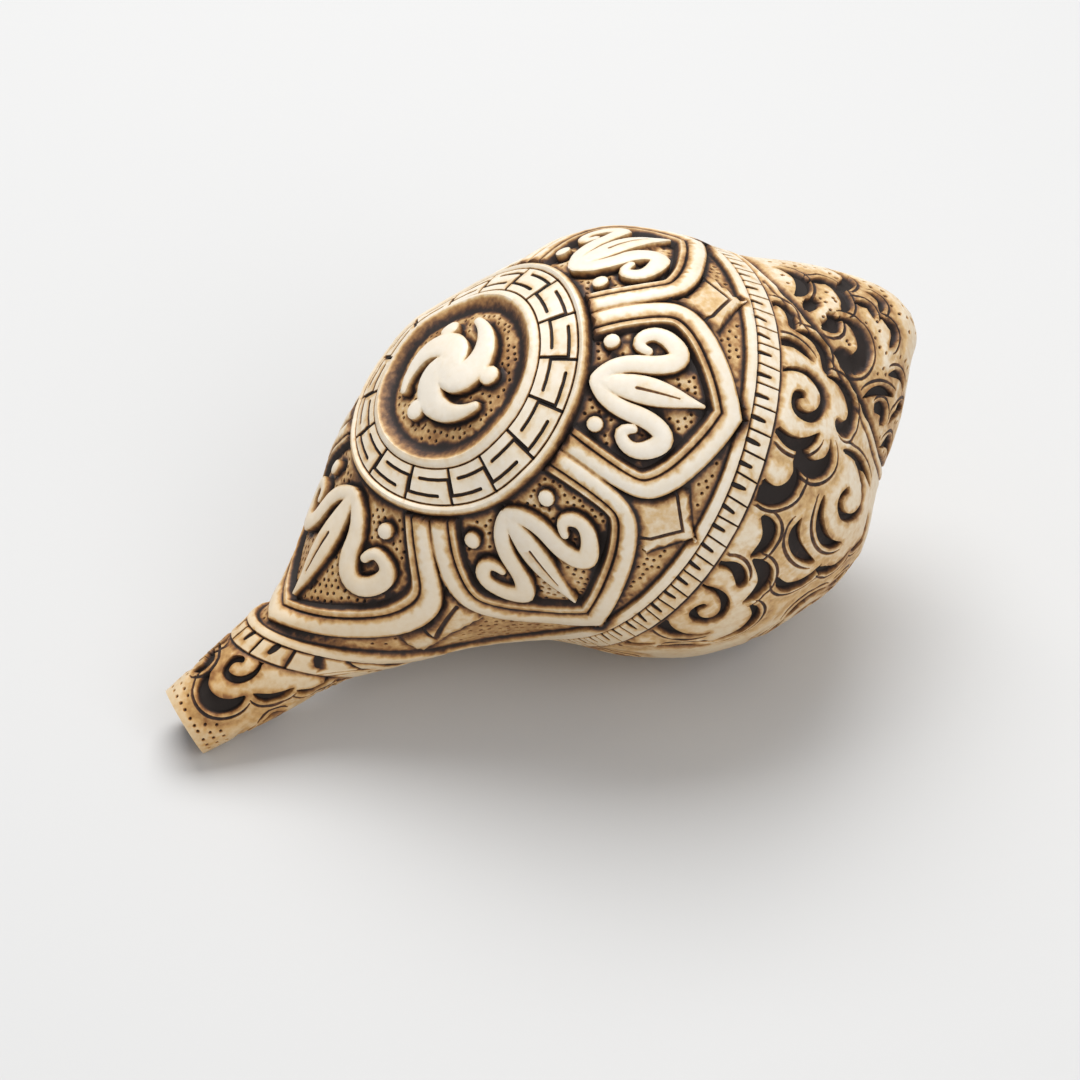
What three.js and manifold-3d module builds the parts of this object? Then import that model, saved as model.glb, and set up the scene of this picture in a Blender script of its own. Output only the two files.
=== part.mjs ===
// A carved chank shell lying mouth down: one shell wall with its carving, throat and canal.
// Millimetres, +Z up, canal end towards -X, apex towards +X, resting on z = 0.

import * as THREE from 'three';
import Module from 'manifold-3d';

const wasm = await Module();
wasm.setup();

// Driving dimensions of the shell, in millimetres and degrees.
const shellLength = 150;
const axisTilt = 20.8; // rise of the shell's axis towards the apex as it lies
const canalEnd = { x: -71.4, y: 2.2, z: 8.2 }; // start of the axis, at the sawn canal end
// Place along the axis, radius on the near flank, radius over the back.
const stations = [
  [0, 6, 7], [14, 8.5, 8.5], [26, 10, 10], [38, 13.5, 18], [50, 17, 26.5], [62, 23, 33],
  [74, 34.5, 36.5], [86, 41.5, 36.5], [98, 44, 36], [108, 43.5, 34], [118, 40, 28],
  [128, 29.5, 19], [138, 19, 13.5], [145, 9.5, 8.5], [148.5, 5, 4.5], [150, 0.4, 0.4],
];
const nearFlank = 40; // turn round the axis, 0 at the bottom, 90 towards the viewer
const backFlank = 220;
const lipBlend = [318, 358]; // where the last whorl hands over to the one inside it
const canalBend = { drop: 3.5, swing: 1.7, until: 70 };
const spireBend = { drop: 9.7, swing: 1.7, from: 100 };

// The mouth under the shell and the throat behind it.
const mouth = { middle: 75, half: 33, turn: 334, halfTurn: 20, lip: 3 };
// Turn, place along the axis, distance from the axis, half height, half depth.
const throat = [
  [300, 78, 22, 26, 10.5], [272, 81, 21.5, 23, 11], [240, 84, 20, 19, 10], [208, 87, 18, 13, 8],
  [184, 89, 18, 7, 5],
];
const canal = { halfWidth: 1.7, depth: 6, turn: 338, from: -4, to: 52 };

// The medallion on the back: everything is set out as radius and turn about its middle.
const medallion = { along: 71.3, turn: 182.9 };
const rings = {
  disc: 14.4, inner: 16.5, innerHalf: 1.8, innerHeight: 1.1,
  outer: 24.4, outerHalf: 1.3, outerHeight: 0.9,
};
// Lotus petals: turn of the tip, of the grooves on both sides, and radius of the tip.
const petals = [
  { tip: 7.2, from: -20.7, to: 35, reach: 52.5 },
  { tip: 62.7, from: 35, to: 90.5, reach: 52.5 },
  { tip: 118.3, from: 90.5, to: 146, reach: 52.5 },
  { tip: 182, from: 146, to: 217.5, reach: 56.4 },
  { tip: 249, from: 217.5, to: 283.5, reach: 52.3 },
  { tip: 312, from: 283.5, to: 339.3, reach: 52.5 },
];
// Petal edge from groove to tip: share of the half width, radius short of the tip.
const petalEdge = [
  [1, 27], [1, 10.2], [0.88, 7.8], [0.6, 4.8], [0.22, 2.1], [0, 0],
];
const petalRim = { width: 3.4, height: 0.9 };
const petalField = { inset: 4.3, depth: 1.1 };
const dart = { reach: 52.6, root: 45.5, halfTurn: 10.5, half: 0.9, height: 0.6 };
const border = { radius: 52.7, half: 0.8, height: 0.7, bandWidth: 4, edgeDepth: 0.6 };
const canalSwell = { turn: 176, reach: 6.6, width: 19 }; // the border runs out along the canal
const spireRow = { place: 138.5, count: 7, start: 51, spread: 18.6, bow: 2.2, half: 2.2 };
const needle = { edge: 0.3, height: 0.03 }; // shortest edge and lowest triangle kept
const suture = { along: 130.5, turn: 110, rise: 15, half: 0.9, depth: 1.1 };

const tilt = THREE.MathUtils.degToRad(axisTilt);
const axis = new THREE.Vector3(Math.cos(tilt), 0, Math.sin(tilt));
const dorsal = new THREE.Vector3(-Math.sin(tilt), 0, Math.cos(tilt));
const beyond = new THREE.Vector3(0, 1, 0);
const origin = new THREE.Vector3(canalEnd.x, canalEnd.y, canalEnd.z);
const rad = THREE.MathUtils.degToRad;

// Smooth curve through one column of the stations.
function stationValue(place, column) {
  const s = THREE.MathUtils.clamp(place, 0, shellLength);
  let i = 0;
  while (i < stations.length - 2 && s > stations[i + 1][0]) i += 1;
  const slope = (k) => {
    const [from, to] = [stations[k], stations[k + 1]];
    return (to[column] - from[column]) / (to[0] - from[0]);
  };
  const tangent = (k) => {
    if (k === 0) return slope(0);
    if (k === stations.length - 1) return slope(k - 1);
    const before = slope(k - 1);
    const after = slope(k);
    return before * after <= 0 ? 0 : (2 * before * after) / (before + after);
  };
  const width = stations[i + 1][0] - stations[i][0];
  const t = (s - stations[i][0]) / width;
  const a = stations[i][column];
  const b = stations[i + 1][column];
  return a * (1 + 2 * t) * (1 - t) ** 2 + b * t * t * (3 - 2 * t)
    + width * t * (1 - t) * (tangent(i) * (1 - t) - tangent(i + 1) * t);
}

// Share of the back radius in the radius at a turn; past the lip it falls back to the inner whorl.
function backShare(turn) {
  const share = (a) => {
    const t = (a - nearFlank) / (backFlank - nearFlank);
    return t <= 1 ? t : 1 + (t - 1) * 0.1;
  };
  const a = THREE.MathUtils.euclideanModulo(turn, 360);
  const past = a < lipBlend[1] - 360 ? a + 360 : a;
  if (past < lipBlend[0]) return share(a);
  const t = THREE.MathUtils.smoothstep(past, lipBlend[0], lipBlend[1]);
  return share(lipBlend[0]) * (1 - t) + share(lipBlend[1] - 360) * t;
}

function radiusAt(place, turn) {
  const share = backShare(turn);
  return Math.max((1 - share) * stationValue(place, 1) + share * stationValue(place, 2), 0.3);
}

function axisPoint(place) {
  const c = Math.max(canalBend.until - place, 0) / canalBend.until;
  const s = Math.max(place - spireBend.from, 0) / (shellLength - spireBend.from);
  const drop = canalBend.drop * c * c + spireBend.drop * s * s;
  const swing = canalBend.swing * c * c + spireBend.swing * s * s;
  return origin.clone().addScaledVector(axis, place)
    .addScaledVector(dorsal, -drop).addScaledVector(beyond, -swing);
}

function outward(turn) {
  const a = rad(turn);
  return dorsal.clone().multiplyScalar(-Math.cos(a)).addScaledVector(beyond, -Math.sin(a));
}

function surfacePoint(place, turn) {
  return axisPoint(place).addScaledVector(outward(turn), radiusAt(place, turn));
}

function surfaceNormal(place, turn) {
  const along = surfacePoint(place + 0.4, turn).sub(surfacePoint(place - 0.4, turn));
  const round = surfacePoint(place, turn + 0.6).sub(surfacePoint(place, turn - 0.6));
  return round.cross(along).negate().normalize();
}

function spot(place, turn) {
  return { point: surfacePoint(place, turn), normal: surfaceNormal(place, turn), place, turn };
}

// Place and turn of a point near the surface.
function shellCoordinates(point) {
  let place = point.clone().sub(origin).dot(axis);
  place = THREE.MathUtils.clamp(place, 0, shellLength);
  const q = point.clone().sub(axisPoint(place));
  return [place, THREE.MathUtils.radToDeg(Math.atan2(-q.dot(beyond), -q.dot(dorsal)))];
}

const hub = spot(medallion.along, medallion.turn);
const hubX = axis.clone().addScaledVector(hub.normal, -axis.dot(hub.normal)).normalize();
const hubY = hub.normal.clone().cross(hubX);

// Walks out over the surface from a middle in one direction, to a straight-line radius.
function walk(middle, towards, radius) {
  const plane = middle.normal.clone().cross(towards).normalize();
  let here = middle;
  let reached = 0;
  while (reached < radius - 1e-6) {
    const step = Math.min(1.5, radius - reached);
    const ahead = plane.clone().cross(here.normal).normalize();
    const next = here.point.clone().addScaledVector(ahead, step);
    next.addScaledVector(plane, -plane.dot(next.clone().sub(middle.point)));
    here = spot(...shellCoordinates(next));
    const distance = here.point.distanceTo(middle.point);
    if (distance <= reached) break;
    reached = distance;
    if (radius - reached < 0.02) break;
  }
  return here;
}

// Point at a radius and turn about the medallion.
function dial(radius, turn) {
  const a = rad(turn);
  return walk(hub, hubX.clone().multiplyScalar(Math.cos(a)).addScaledVector(hubY, Math.sin(a)), radius);
}

// Closed solid from vertices and triangles, turned so that its faces point out.
function solid(points, triangles) {
  let volume = 0;
  for (const [a, b, c] of triangles) {
    volume += points[a].dot(points[b].clone().cross(points[c]));
  }
  const vertProperties = new Float32Array(points.flatMap((p) => [p.x, p.y, p.z]));
  const faces = volume > 0 ? triangles : triangles.map(([a, b, c]) => [a, c, b]);
  const triVerts = new Uint32Array(faces.flat());
  return new wasm.Manifold(new wasm.Mesh({ numProp: 3, vertProperties, triVerts }));
}

// Solid through loops of equal length, closed by flat ends or joined end to start.
function loft(loops, closed = false) {
  const n = loops[0].length;
  const points = loops.flat();
  const triangles = [];
  const last = closed ? loops.length : loops.length - 1;
  for (let i = 0; i < last; i += 1) {
    for (let j = 0; j < n; j += 1) {
      const a = i * n + j;
      const b = i * n + ((j + 1) % n);
      const c = ((i + 1) % loops.length) * n + ((j + 1) % n);
      const d = ((i + 1) % loops.length) * n + j;
      triangles.push([a, b, c], [a, c, d]);
    }
  }
  const end = (loops.length - 1) * n;
  for (let j = 1; !closed && j < n - 1; j += 1) {
    triangles.push([0, j + 1, j], [end, end + j, end + j + 1]);
  }
  return solid(points, triangles);
}

// Bar along surface spots: raised when top is above the surface, a cutter when bottom is below.
// The section runs from half width topHalf at height top to bottomHalf at height bottom.
function bar(spots, topHalf, bottomHalf, top, bottom, closed = false) {
  const n = spots.length;
  const at = (value, i) => (typeof value === 'function' ? value(i / (closed ? n : n - 1)) : value);
  const loops = spots.map((here, i) => {
    const before = closed ? spots[(i + n - 1) % n] : spots[Math.max(i - 1, 0)];
    const after = closed ? spots[(i + 1) % n] : spots[Math.min(i + 1, n - 1)];
    const back = here.point.clone().sub(before.point).normalize();
    const ahead = after.point.clone().sub(here.point).normalize();
    const along = back.clone().add(ahead).normalize();
    const mitre = Math.min(1 / Math.max(along.dot(ahead.lengthSq() > 0 ? ahead : back), 0.35), 2.4);
    const side = along.cross(here.normal).normalize();
    const corner = (half, height) => here.point.clone()
      .addScaledVector(side, half * mitre).addScaledVector(here.normal, height);
    const t = at(topHalf, i);
    const b = at(bottomHalf, i);
    const low = at(bottom, i);
    const over = t > 0 ? [corner(-t, top), corner(t, top)] : [corner(0, top)];
    const under = b > 0 ? [corner(b, low), corner(-b, low)] : [corner(0, low)];
    return [...over, ...under];
  });
  return loft(loops, closed);
}

// Plate between two heights over a grid of surface spots, used to sink a field.
function plate(rows, top, bottom) {
  const columns = rows[0].length;
  const lift = (height) => rows.flat().map((s) => s.point.clone().addScaledVector(s.normal, height));
  const points = [...lift(top), ...lift(bottom)];
  const under = rows.length * columns;
  const triangles = [];
  for (let i = 0; i < rows.length - 1; i += 1) {
    for (let j = 0; j < columns - 1; j += 1) {
      const a = i * columns + j;
      const b = a + 1;
      const c = a + columns + 1;
      const d = a + columns;
      triangles.push([a, b, c], [a, c, d]);
      triangles.push([under + a, under + c, under + b], [under + a, under + d, under + c]);
    }
  }
  const edge = [];
  for (let j = 0; j < columns - 1; j += 1) edge.push(j);
  for (let i = 0; i < rows.length - 1; i += 1) edge.push(i * columns + columns - 1);
  for (let j = columns - 1; j > 0; j -= 1) edge.push((rows.length - 1) * columns + j);
  for (let i = rows.length - 1; i > 0; i -= 1) edge.push(i * columns);
  edge.forEach((a, k) => {
    const b = edge[(k + 1) % edge.length];
    triangles.push([a, under + a, under + b], [a, under + b, b]);
  });
  return solid(points, triangles);
}

// Plain body of the shell: rings round the axis, closed at the canal end and the apex.
function plainBody() {
  const around = 24;
  const places = [0, 14, 26, 36, 45, 54, 63, 72, 81, 90, 99, 108, 116, 123, 130, 137, 142.5, 146.5, 149.2];
  return loft(places.map((place) => {
    const loop = [];
    for (let j = 0; j < around; j += 1) loop.push(surfacePoint(place, (j * 360) / around));
    return loop;
  }));
}

// Throat: from above the mouth's outline inwards and back behind the lip.
function throatCutter() {
  const around = 16;
  const outline = (grow, lift) => {
    const loop = [];
    for (let j = 0; j < around; j += 1) {
      const a = (j * 2 * Math.PI) / around;
      const place = mouth.middle + (mouth.half + grow) * Math.cos(a);
      const width = mouth.halfTurn * (1 - 0.25 * Math.cos(a) ** 2 + 0.2 * Math.cos(a));
      const turn = mouth.turn + width * Math.sin(a);
      const here = spot(place, turn);
      loop.push(here.point.addScaledVector(outward(turn), lift));
    }
    return loop;
  };
  const loops = [outline(0, 16), outline(0, 0), outline(-1, -mouth.lip)];
  for (const [turn, along, distance, halfHeight, halfDepth] of throat) {
    const loop = [];
    for (let j = 0; j < around; j += 1) {
      const a = (j * 2 * Math.PI) / around;
      const radius = distance - halfDepth * Math.sin(a);
      loop.push(axisPoint(along + halfHeight * Math.cos(a)).addScaledVector(outward(turn), radius));
    }
    loops.push(loop);
  }
  return loft(loops);
}

function canalCutter() {
  const spots = [];
  for (let i = 0; i <= 6; i += 1) {
    const place = canal.from + (i * (canal.to - canal.from)) / 6;
    const here = spot(Math.max(place, 0), canal.turn);
    here.point.addScaledVector(axis, Math.min(place, 0));
    spots.push(here);
  }
  return bar(spots, canal.halfWidth, canal.halfWidth * 0.7, 8, -canal.depth);
}

function circle(radius, count) {
  return Array.from({ length: count }, (_, i) => dial(radius, (i * 360) / count));
}

// Radius of the border line, which swells towards the canal.
function borderRadius(turn) {
  const off = (THREE.MathUtils.euclideanModulo(turn - canalSwell.turn + 180, 360) - 180) / canalSwell.width;
  return border.radius + canalSwell.reach * Math.exp(-off * off);
}

// Petal edge as radius and turn, from one groove over the tip to the other.
function petalOutline(petal, inset) {
  const side = (limit) => petalEdge.map(([share, short]) => {
    const shrink = petal.reach - short;
    const turnInset = (inset / shrink) * (180 / Math.PI);
    const half = limit - petal.tip;
    const turn = petal.tip + (half - Math.sign(half) * turnInset) * share;
    return [shrink - inset * (1 - share) * 0.8, turn];
  });
  const first = side(petal.from);
  const second = side(petal.to).reverse().slice(1);
  return [...first, ...second];
}

function petalRims() {
  const inset = petalRim.width / 2 + 0.25;
  return petals.map((petal) => {
    const spots = petalOutline(petal, inset).map(([radius, turn]) => dial(radius, turn));
    return bar(spots, petalRim.width / 2 - 0.3, petalRim.width / 2, petalRim.height, -1.5);
  });
}

// Field of a petal: rows from the medallion out to the tip, each row across the petal.
function petalFields() {
  return petals.map((petal) => {
    const outline = petalOutline(petal, petalField.inset);
    const half = (outline.length - 1) / 2;
    const rows = [];
    for (let i = 0; i <= half - 1; i += 1) {
      const left = outline[i];
      const right = outline[outline.length - 1 - i];
      const start = i === 0 ? rings.outer + 1.2 : left[0];
      const row = [];
      for (let j = 0; j <= 3; j += 1) row.push(dial(start, left[1] + ((right[1] - left[1]) * j) / 3));
      rows.push(row);
    }
    return plate(rows, 3, -petalField.depth);
  });
}

// Leaf ornament in a petal: a pointed leaf on the middle line between two curling scrolls.
function petalLeaves() {
  return petals.flatMap((petal) => {
    const width = (petal.to - petal.from) / 60;
    const base = rings.outer + 2;
    const leaf = [0, 0.5, 1].map((t) => dial(base + t * 21, petal.tip));
    const pieces = [bar(leaf, 0, (t) => 1 + 2.6 * Math.sin(Math.PI * t), 0.8, -1.8)];
    for (const sign of [-1, 1]) {
      const scroll = [];
      for (let i = 0; i <= 3; i += 1) {
        const a = (i / 3) * 1.3 * Math.PI;
        const r = 4.3 - i * 0.5;
        const across = 7.6 - Math.cos(a) * r;
        const radius = base + 7.5 + Math.sin(a) * r;
        const turn = petal.tip + ((sign * across * width) / radius) * (180 / Math.PI);
        scroll.push(dial(radius, turn));
      }
      const neck = dial(base, petal.tip + sign * 5 * width);
      pieces.push(bar([neck, ...scroll], 0, 1.9, 0.8, -1.8));
    }
    return pieces;
  });
}

function darts() {
  return petals.map((petal) => {
    const points = [[-1, dart.root], [0, dart.reach], [1, dart.root]];
    const spots = points.map(([side, radius]) => dial(radius, petal.from + side * dart.halfTurn));
    return bar(spots, 0, dart.half * 1.5, dart.height, -1);
  });
}

// Whirl of three scrolls and three round bosses in the medallion's disc.
function whirl() {
  const pieces = [];
  for (let k = 0; k < 3; k += 1) {
    const scroll = [];
    for (let i = 0; i <= 4; i += 1) {
      const t = i / 4;
      scroll.push(dial(2 + 8.6 * t, k * 120 + 150 * t));
    }
    pieces.push(bar(scroll, 0, (t) => 2.8 - 1.3 * t, 0.9, -1.8));
    const boss = dial(9.4, k * 120 + 62);
    const ring = (half, height) => Array.from({ length: 6 }, (_, i) => {
      const a = (i * Math.PI) / 3;
      return boss.point.clone().addScaledVector(hubX, half * Math.cos(a))
        .addScaledVector(hubY, half * Math.sin(a)).addScaledVector(boss.normal, height);
    });
    pieces.push(loft([ring(2, -1.8), ring(2, 0.1), ring(1.3, 0.8)]));
  }
  return pieces;
}

function disc() {
  const count = 20;
  const rows = [0.5, 7, rings.disc].map((radius) => circle(radius, count));
  const raise = (row, height) => row.map((s) => s.point.clone().addScaledVector(s.normal, height));
  const lift = (height) => rows.map((row) => raise(row, height));
  return loft([...lift(-1.3), ...lift(3).reverse()]);
}

function borderSpots(offset, count) {
  return Array.from({ length: count }, (_, i) => {
    const turn = (i * 360) / count;
    return dial(borderRadius(turn) + offset, turn);
  });
}

// Groove between the whorls of the spire, winding up towards the apex.
function sutureCutter() {
  const spots = [];
  for (let turn = 315; turn > -330; turn -= 30) {
    const place = suture.along - ((turn - suture.turn) * suture.rise) / 360;
    spots.push(spot(place, turn));
  }
  return bar(spots, suture.half * 1.6, 0, 0.8, -suture.depth);
}

// Cloud scrolls: middle as place and turn, size and way round of the curl.
const clouds = [
  [121, 119, 1, 20], [119, 82, 1, 60], [89, 80, 1, 100], [106, 52, 1, 80], [66, 40, 0.8, 120],
  [114, 235, 1, -60], [112, 275, 1, 10], [86, 268, 1, -80], [56, 285, 0.8, -110], [13, 150, 0.6, 180],
  [11, 270, 0.6, 190],
];

function cloudCutters() {
  return clouds.flatMap(([place, turn, size, heading]) => {
    const middle = spot(place, turn);
    const x = axis.clone().addScaledVector(middle.normal, -axis.dot(middle.normal)).normalize();
    const y = middle.normal.clone().cross(x);
    const at = (radius, degrees) => {
      const a = rad(degrees + heading);
      const towards = x.clone().multiplyScalar(Math.cos(a)).addScaledVector(y, Math.sin(a));
      return walk(middle, towards, radius * size);
    };
    const curl = [];
    for (let i = 0; i <= 3; i += 1) curl.push(at(1.8 + i, -i * 80));
    const pieces = [bar(curl, (t) => size * (0.8 + 0.9 * Math.sin(Math.PI * t)), 0, 0.8, -1.1)];
    for (const middleTurn of [-55, 55]) {
      const crescent = [-44, 0, 44].map((d) => at(9.2 - Math.abs(d) * 0.03, middleTurn + d));
      pieces.push(bar(crescent, (t) => size * (0.35 + 1.9 * Math.sin(Math.PI * t)), 0, 0.8, -1.2));
    }
    return pieces;
  });
}

// Row of small crescents on the spire above the suture.
function spireCutters() {
  return Array.from({ length: spireRow.count }, (_, i) => {
    const turn = (i * 360) / spireRow.count + spireRow.start;
    const along = (d) => spireRow.place + spireRow.bow * (d * d - 1);
    const spots = [-1, 0, 1].map((d) => spot(along(d), turn + d * spireRow.spread));
    return bar(spots, (t) => 0.3 + spireRow.half * Math.sin(Math.PI * t), 0, 0.7, -1);
  });
}

// Everything below the table level is taken off, which leaves the flats that it rests on.
function tableCutter() {
  const box = new THREE.BoxGeometry(400, 400, 40).translate(0, 0, -20);
  const corners = box.getAttribute('position');
  const keys = new Map();
  const points = [];
  const index = [];
  for (let i = 0; i < corners.count; i += 1) {
    const p = new THREE.Vector3().fromBufferAttribute(corners, i);
    const key = p.toArray().join();
    if (!keys.has(key)) {
      keys.set(key, points.length);
      points.push(p);
    }
    index[i] = keys.get(key);
  }
  const order = box.getIndex().array;
  const triangles = [];
  for (let i = 0; i < order.length; i += 3) {
    triangles.push([index[order[i]], index[order[i + 1]], index[order[i + 2]]]);
  }
  return solid(points, triangles);
}

function joined(pieces) {
  return pieces.reduce((sum, piece) => sum.add(piece));
}

function carvedShell() {
  const sunk = joined([disc(), ...petalFields()]);
  const raised = joined([
    ...petalRims(), ...darts(), bar(borderSpots(0, 32), 0, border.half * 1.5, border.height, -1, true),
    bar(circle(rings.inner, 20), rings.innerHalf * 0.6, rings.innerHalf, rings.innerHeight, -1.5, true),
    bar(circle(rings.outer, 24), 0, rings.outerHalf * 1.5, rings.outerHeight, -1, true),
  ]);
  const cut = joined([
    bar(borderSpots(border.bandWidth + 0.6, 32), 0.8, 0, 0.5, -border.edgeDepth, true),
    sutureCutter(), ...cloudCutters(), ...spireCutters(),
  ]);
  return plainBody().subtract(sunk).add(joined([...petalLeaves(), ...whirl()])).add(raised).subtract(cut)
    .subtract(throatCutter()).subtract(canalCutter()).subtract(tableCutter());
}

// Merges the ends of very short edges and turns the long edge of needle triangles,
// which are left where the carving crosses the facets of the body.
function withoutNeedles(points, triangles) {
  const faces = triangles.map((face) => face.slice());
  const around = points.map(() => new Set());
  faces.forEach((face, i) => face.forEach((v) => around[v].add(i)));
  const normalOf = ([a, b, c]) => points[b].clone().sub(points[a]).cross(points[c].clone().sub(points[a]));
  const neighbours = (v) => new Set([...around[v]].flatMap((i) => faces[i]).filter((w) => w !== v));

  const merge = (keep, drop) => {
    const near = neighbours(keep);
    const common = [...neighbours(drop)].filter((v) => near.has(v));
    if (common.length !== 2) return false;
    const moved = [...around[drop]].filter((i) => !faces[i].includes(keep));
    const turned = moved.some((i) => {
      const before = normalOf(faces[i]);
      const after = normalOf(faces[i].map((v) => (v === drop ? keep : v)));
      return after.length() < 1e-3 || after.dot(before) < 0.5 * after.length() * before.length();
    });
    if (turned) return false;
    for (const i of around[drop]) {
      if (faces[i].includes(keep)) {
        faces[i].forEach((v) => v !== drop && around[v].delete(i));
        faces[i] = null;
      } else {
        faces[i] = faces[i].map((v) => (v === drop ? keep : v));
        around[keep].add(i);
      }
    }
    around[drop].clear();
    return true;
  };

  const turn = (i) => {
    const lengths = faces[i].map((v, k) => points[v].distanceTo(points[faces[i][(k + 1) % 3]]));
    const k = lengths.indexOf(Math.max(...lengths));
    const [a, b, c] = [faces[i][k], faces[i][(k + 1) % 3], faces[i][(k + 2) % 3]];
    const other = [...around[a]].find((j) => j !== i && around[b].has(j));
    const d = faces[other].find((v) => v !== a && v !== b);
    if (neighbours(c).has(d)) return;
    [i, other].forEach((j) => faces[j].forEach((v) => around[v].delete(j)));
    faces[i] = [a, d, c];
    faces[other] = [d, b, c];
    [i, other].forEach((j) => faces[j].forEach((v) => around[v].add(j)));
  };

  for (let pass = 0; pass < 6; pass += 1) {
    for (let i = 0; i < faces.length; i += 1) {
      for (let k = 0; faces[i] && k < 3; k += 1) {
        const [a, b] = [faces[i][k], faces[i][(k + 1) % 3]];
        if (points[a].distanceTo(points[b]) < needle.edge && !merge(a, b)) merge(b, a);
      }
      if (!faces[i]) continue;
      const long = Math.max(...faces[i].map((v, k) => points[v].distanceTo(points[faces[i][(k + 1) % 3]])));
      if (normalOf(faces[i]).length() / long < needle.height) turn(i);
    }
  }
  return faces.filter(Boolean);
}

function shellMesh() {
  // The carving can cut a crumb loose, so only the largest piece is kept.
  const [whole] = carvedShell().decompose().sort((a, b) => b.volume() - a.volume());
  const mesh = whole.getMesh();
  const points = [];
  for (let i = 0; i < mesh.vertProperties.length; i += 3) {
    points.push(new THREE.Vector3().fromArray(mesh.vertProperties, i));
  }
  const triangles = [];
  for (let i = 0; i < mesh.triVerts.length; i += 3) triangles.push([...mesh.triVerts.slice(i, i + 3)]);
  const geometry = new THREE.BufferGeometry().setFromPoints(points);
  geometry.setIndex(withoutNeedles(points, triangles).flat());
  const material = new THREE.MeshStandardMaterial({ color: 0xd9c7a0, roughness: 0.45, metalness: 0 });
  const shell = new THREE.Mesh(geometry, material);
  shell.name = 'shell';
  return shell;
}

const object = new THREE.Group();
object.add(shellMesh());

export default object;
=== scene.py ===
# Carved chank shell lying mouth down on a pale floor: carving, stain, camera and light.
import math

import bmesh
import bpy
import numpy as np
from mathutils import Matrix, Vector, kdtree
from mathutils.geometry import delaunay_2d_cdt


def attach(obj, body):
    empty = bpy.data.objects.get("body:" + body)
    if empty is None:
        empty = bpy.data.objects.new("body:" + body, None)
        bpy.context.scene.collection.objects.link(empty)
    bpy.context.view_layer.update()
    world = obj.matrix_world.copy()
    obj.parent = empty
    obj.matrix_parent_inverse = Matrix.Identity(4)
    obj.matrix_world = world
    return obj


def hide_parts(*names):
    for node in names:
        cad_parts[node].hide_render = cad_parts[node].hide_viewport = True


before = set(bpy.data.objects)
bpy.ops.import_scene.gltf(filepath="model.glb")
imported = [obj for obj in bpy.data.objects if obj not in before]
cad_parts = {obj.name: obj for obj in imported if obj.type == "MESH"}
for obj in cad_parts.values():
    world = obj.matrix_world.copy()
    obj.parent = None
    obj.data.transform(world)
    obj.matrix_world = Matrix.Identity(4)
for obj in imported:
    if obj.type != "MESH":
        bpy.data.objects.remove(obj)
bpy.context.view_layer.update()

mm = 0.001
dice = np.random.default_rng(27)

# The shell's own form, in millimetres and degrees, the same as the solid's.
shellForm = {
    "length": 150.0,
    "axisTilt": 20.8,
    "canalEnd": (-71.4, 2.2, 8.2),
    # place along the axis, radius on the near flank, radius over the back
    "stations": [
        (0, 6, 7), (14, 8.5, 8.5), (26, 10, 10), (38, 13.5, 18), (50, 17, 26.5), (62, 23, 33),
        (74, 34.5, 36.5), (86, 41.5, 36.5), (98, 44, 36), (108, 43.5, 34), (118, 40, 28),
        (128, 29.5, 19), (138, 19, 13.5), (145, 9.5, 8.5), (148.5, 5, 4.5), (150, 0.4, 0.4),
    ],
    "nearFlank": 40,
    "backFlank": 220,
    "lipBlend": (318, 358),
    "canalBend": {"drop": 3.5, "swing": 1.7, "until": 70},
    "spireBend": {"drop": 9.7, "swing": 1.7, "from": 100},
    "lastRow": 149.3,
}

tilt = math.radians(shellForm["axisTilt"])
axis = np.array((math.cos(tilt), 0, math.sin(tilt)))
dorsal = np.array((-math.sin(tilt), 0, math.cos(tilt)))
beyond = np.array((0.0, 1.0, 0.0))
origin = np.array(shellForm["canalEnd"])
stations = np.array(shellForm["stations"], float)


def smoothstep(value, low, high):
    t = np.clip((value - low) / (high - low), 0, 1)
    return t * t * (3 - 2 * t)


def stationValue(place, column):
    xs, ys = stations[:, 0], stations[:, column]
    slope = np.diff(ys) / np.diff(xs)
    tangent = np.concatenate(([slope[0]], np.zeros(len(xs) - 2), [slope[-1]]))
    same = slope[:-1] * slope[1:] > 0
    total = np.where(same, slope[:-1] + slope[1:], 1)
    tangent[1:-1] = np.where(same, 2 * slope[:-1] * slope[1:] / total, 0)
    s = np.clip(place, 0, shellForm["length"])
    i = np.clip(np.searchsorted(xs, s, side="left") - 1, 0, len(xs) - 2)
    width = xs[i + 1] - xs[i]
    t = (s - xs[i]) / width
    bend = width * t * (1 - t) * (tangent[i] * (1 - t) - tangent[i + 1] * t)
    return ys[i] * (1 + 2 * t) * (1 - t) ** 2 + ys[i + 1] * t * t * (3 - 2 * t) + bend


def backShare(turn):
    low, high = shellForm["lipBlend"]
    span = shellForm["backFlank"] - shellForm["nearFlank"]

    def share(a):
        t = (a - shellForm["nearFlank"]) / span
        return np.where(t <= 1, t, 1 + (t - 1) * 0.1)

    a = np.mod(turn, 360)
    t = smoothstep(a, low, high)
    return np.where(a < low, share(a), share(low) * (1 - t) + share(high - 360) * t)


def radiusAt(place, turn):
    share = backShare(turn)
    return np.maximum((1 - share) * stationValue(place, 1) + share * stationValue(place, 2), 0.3)


def meanRadius(place):
    return (stationValue(place, 1) + stationValue(place, 2)) / 2


def axisPoint(place):
    front, rear = shellForm["canalBend"], shellForm["spireBend"]
    c = np.maximum(front["until"] - place, 0) / front["until"]
    s = np.maximum(place - rear["from"], 0) / (shellForm["length"] - rear["from"])
    drop = front["drop"] * c * c + rear["drop"] * s * s
    swing = front["swing"] * c * c + rear["swing"] * s * s
    return origin + np.outer(place, axis) - np.outer(drop, dorsal) - np.outer(swing, beyond)


def outward(turn):
    a = np.radians(turn)
    return -np.outer(np.cos(a), dorsal) - np.outer(np.sin(a), beyond)


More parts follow.
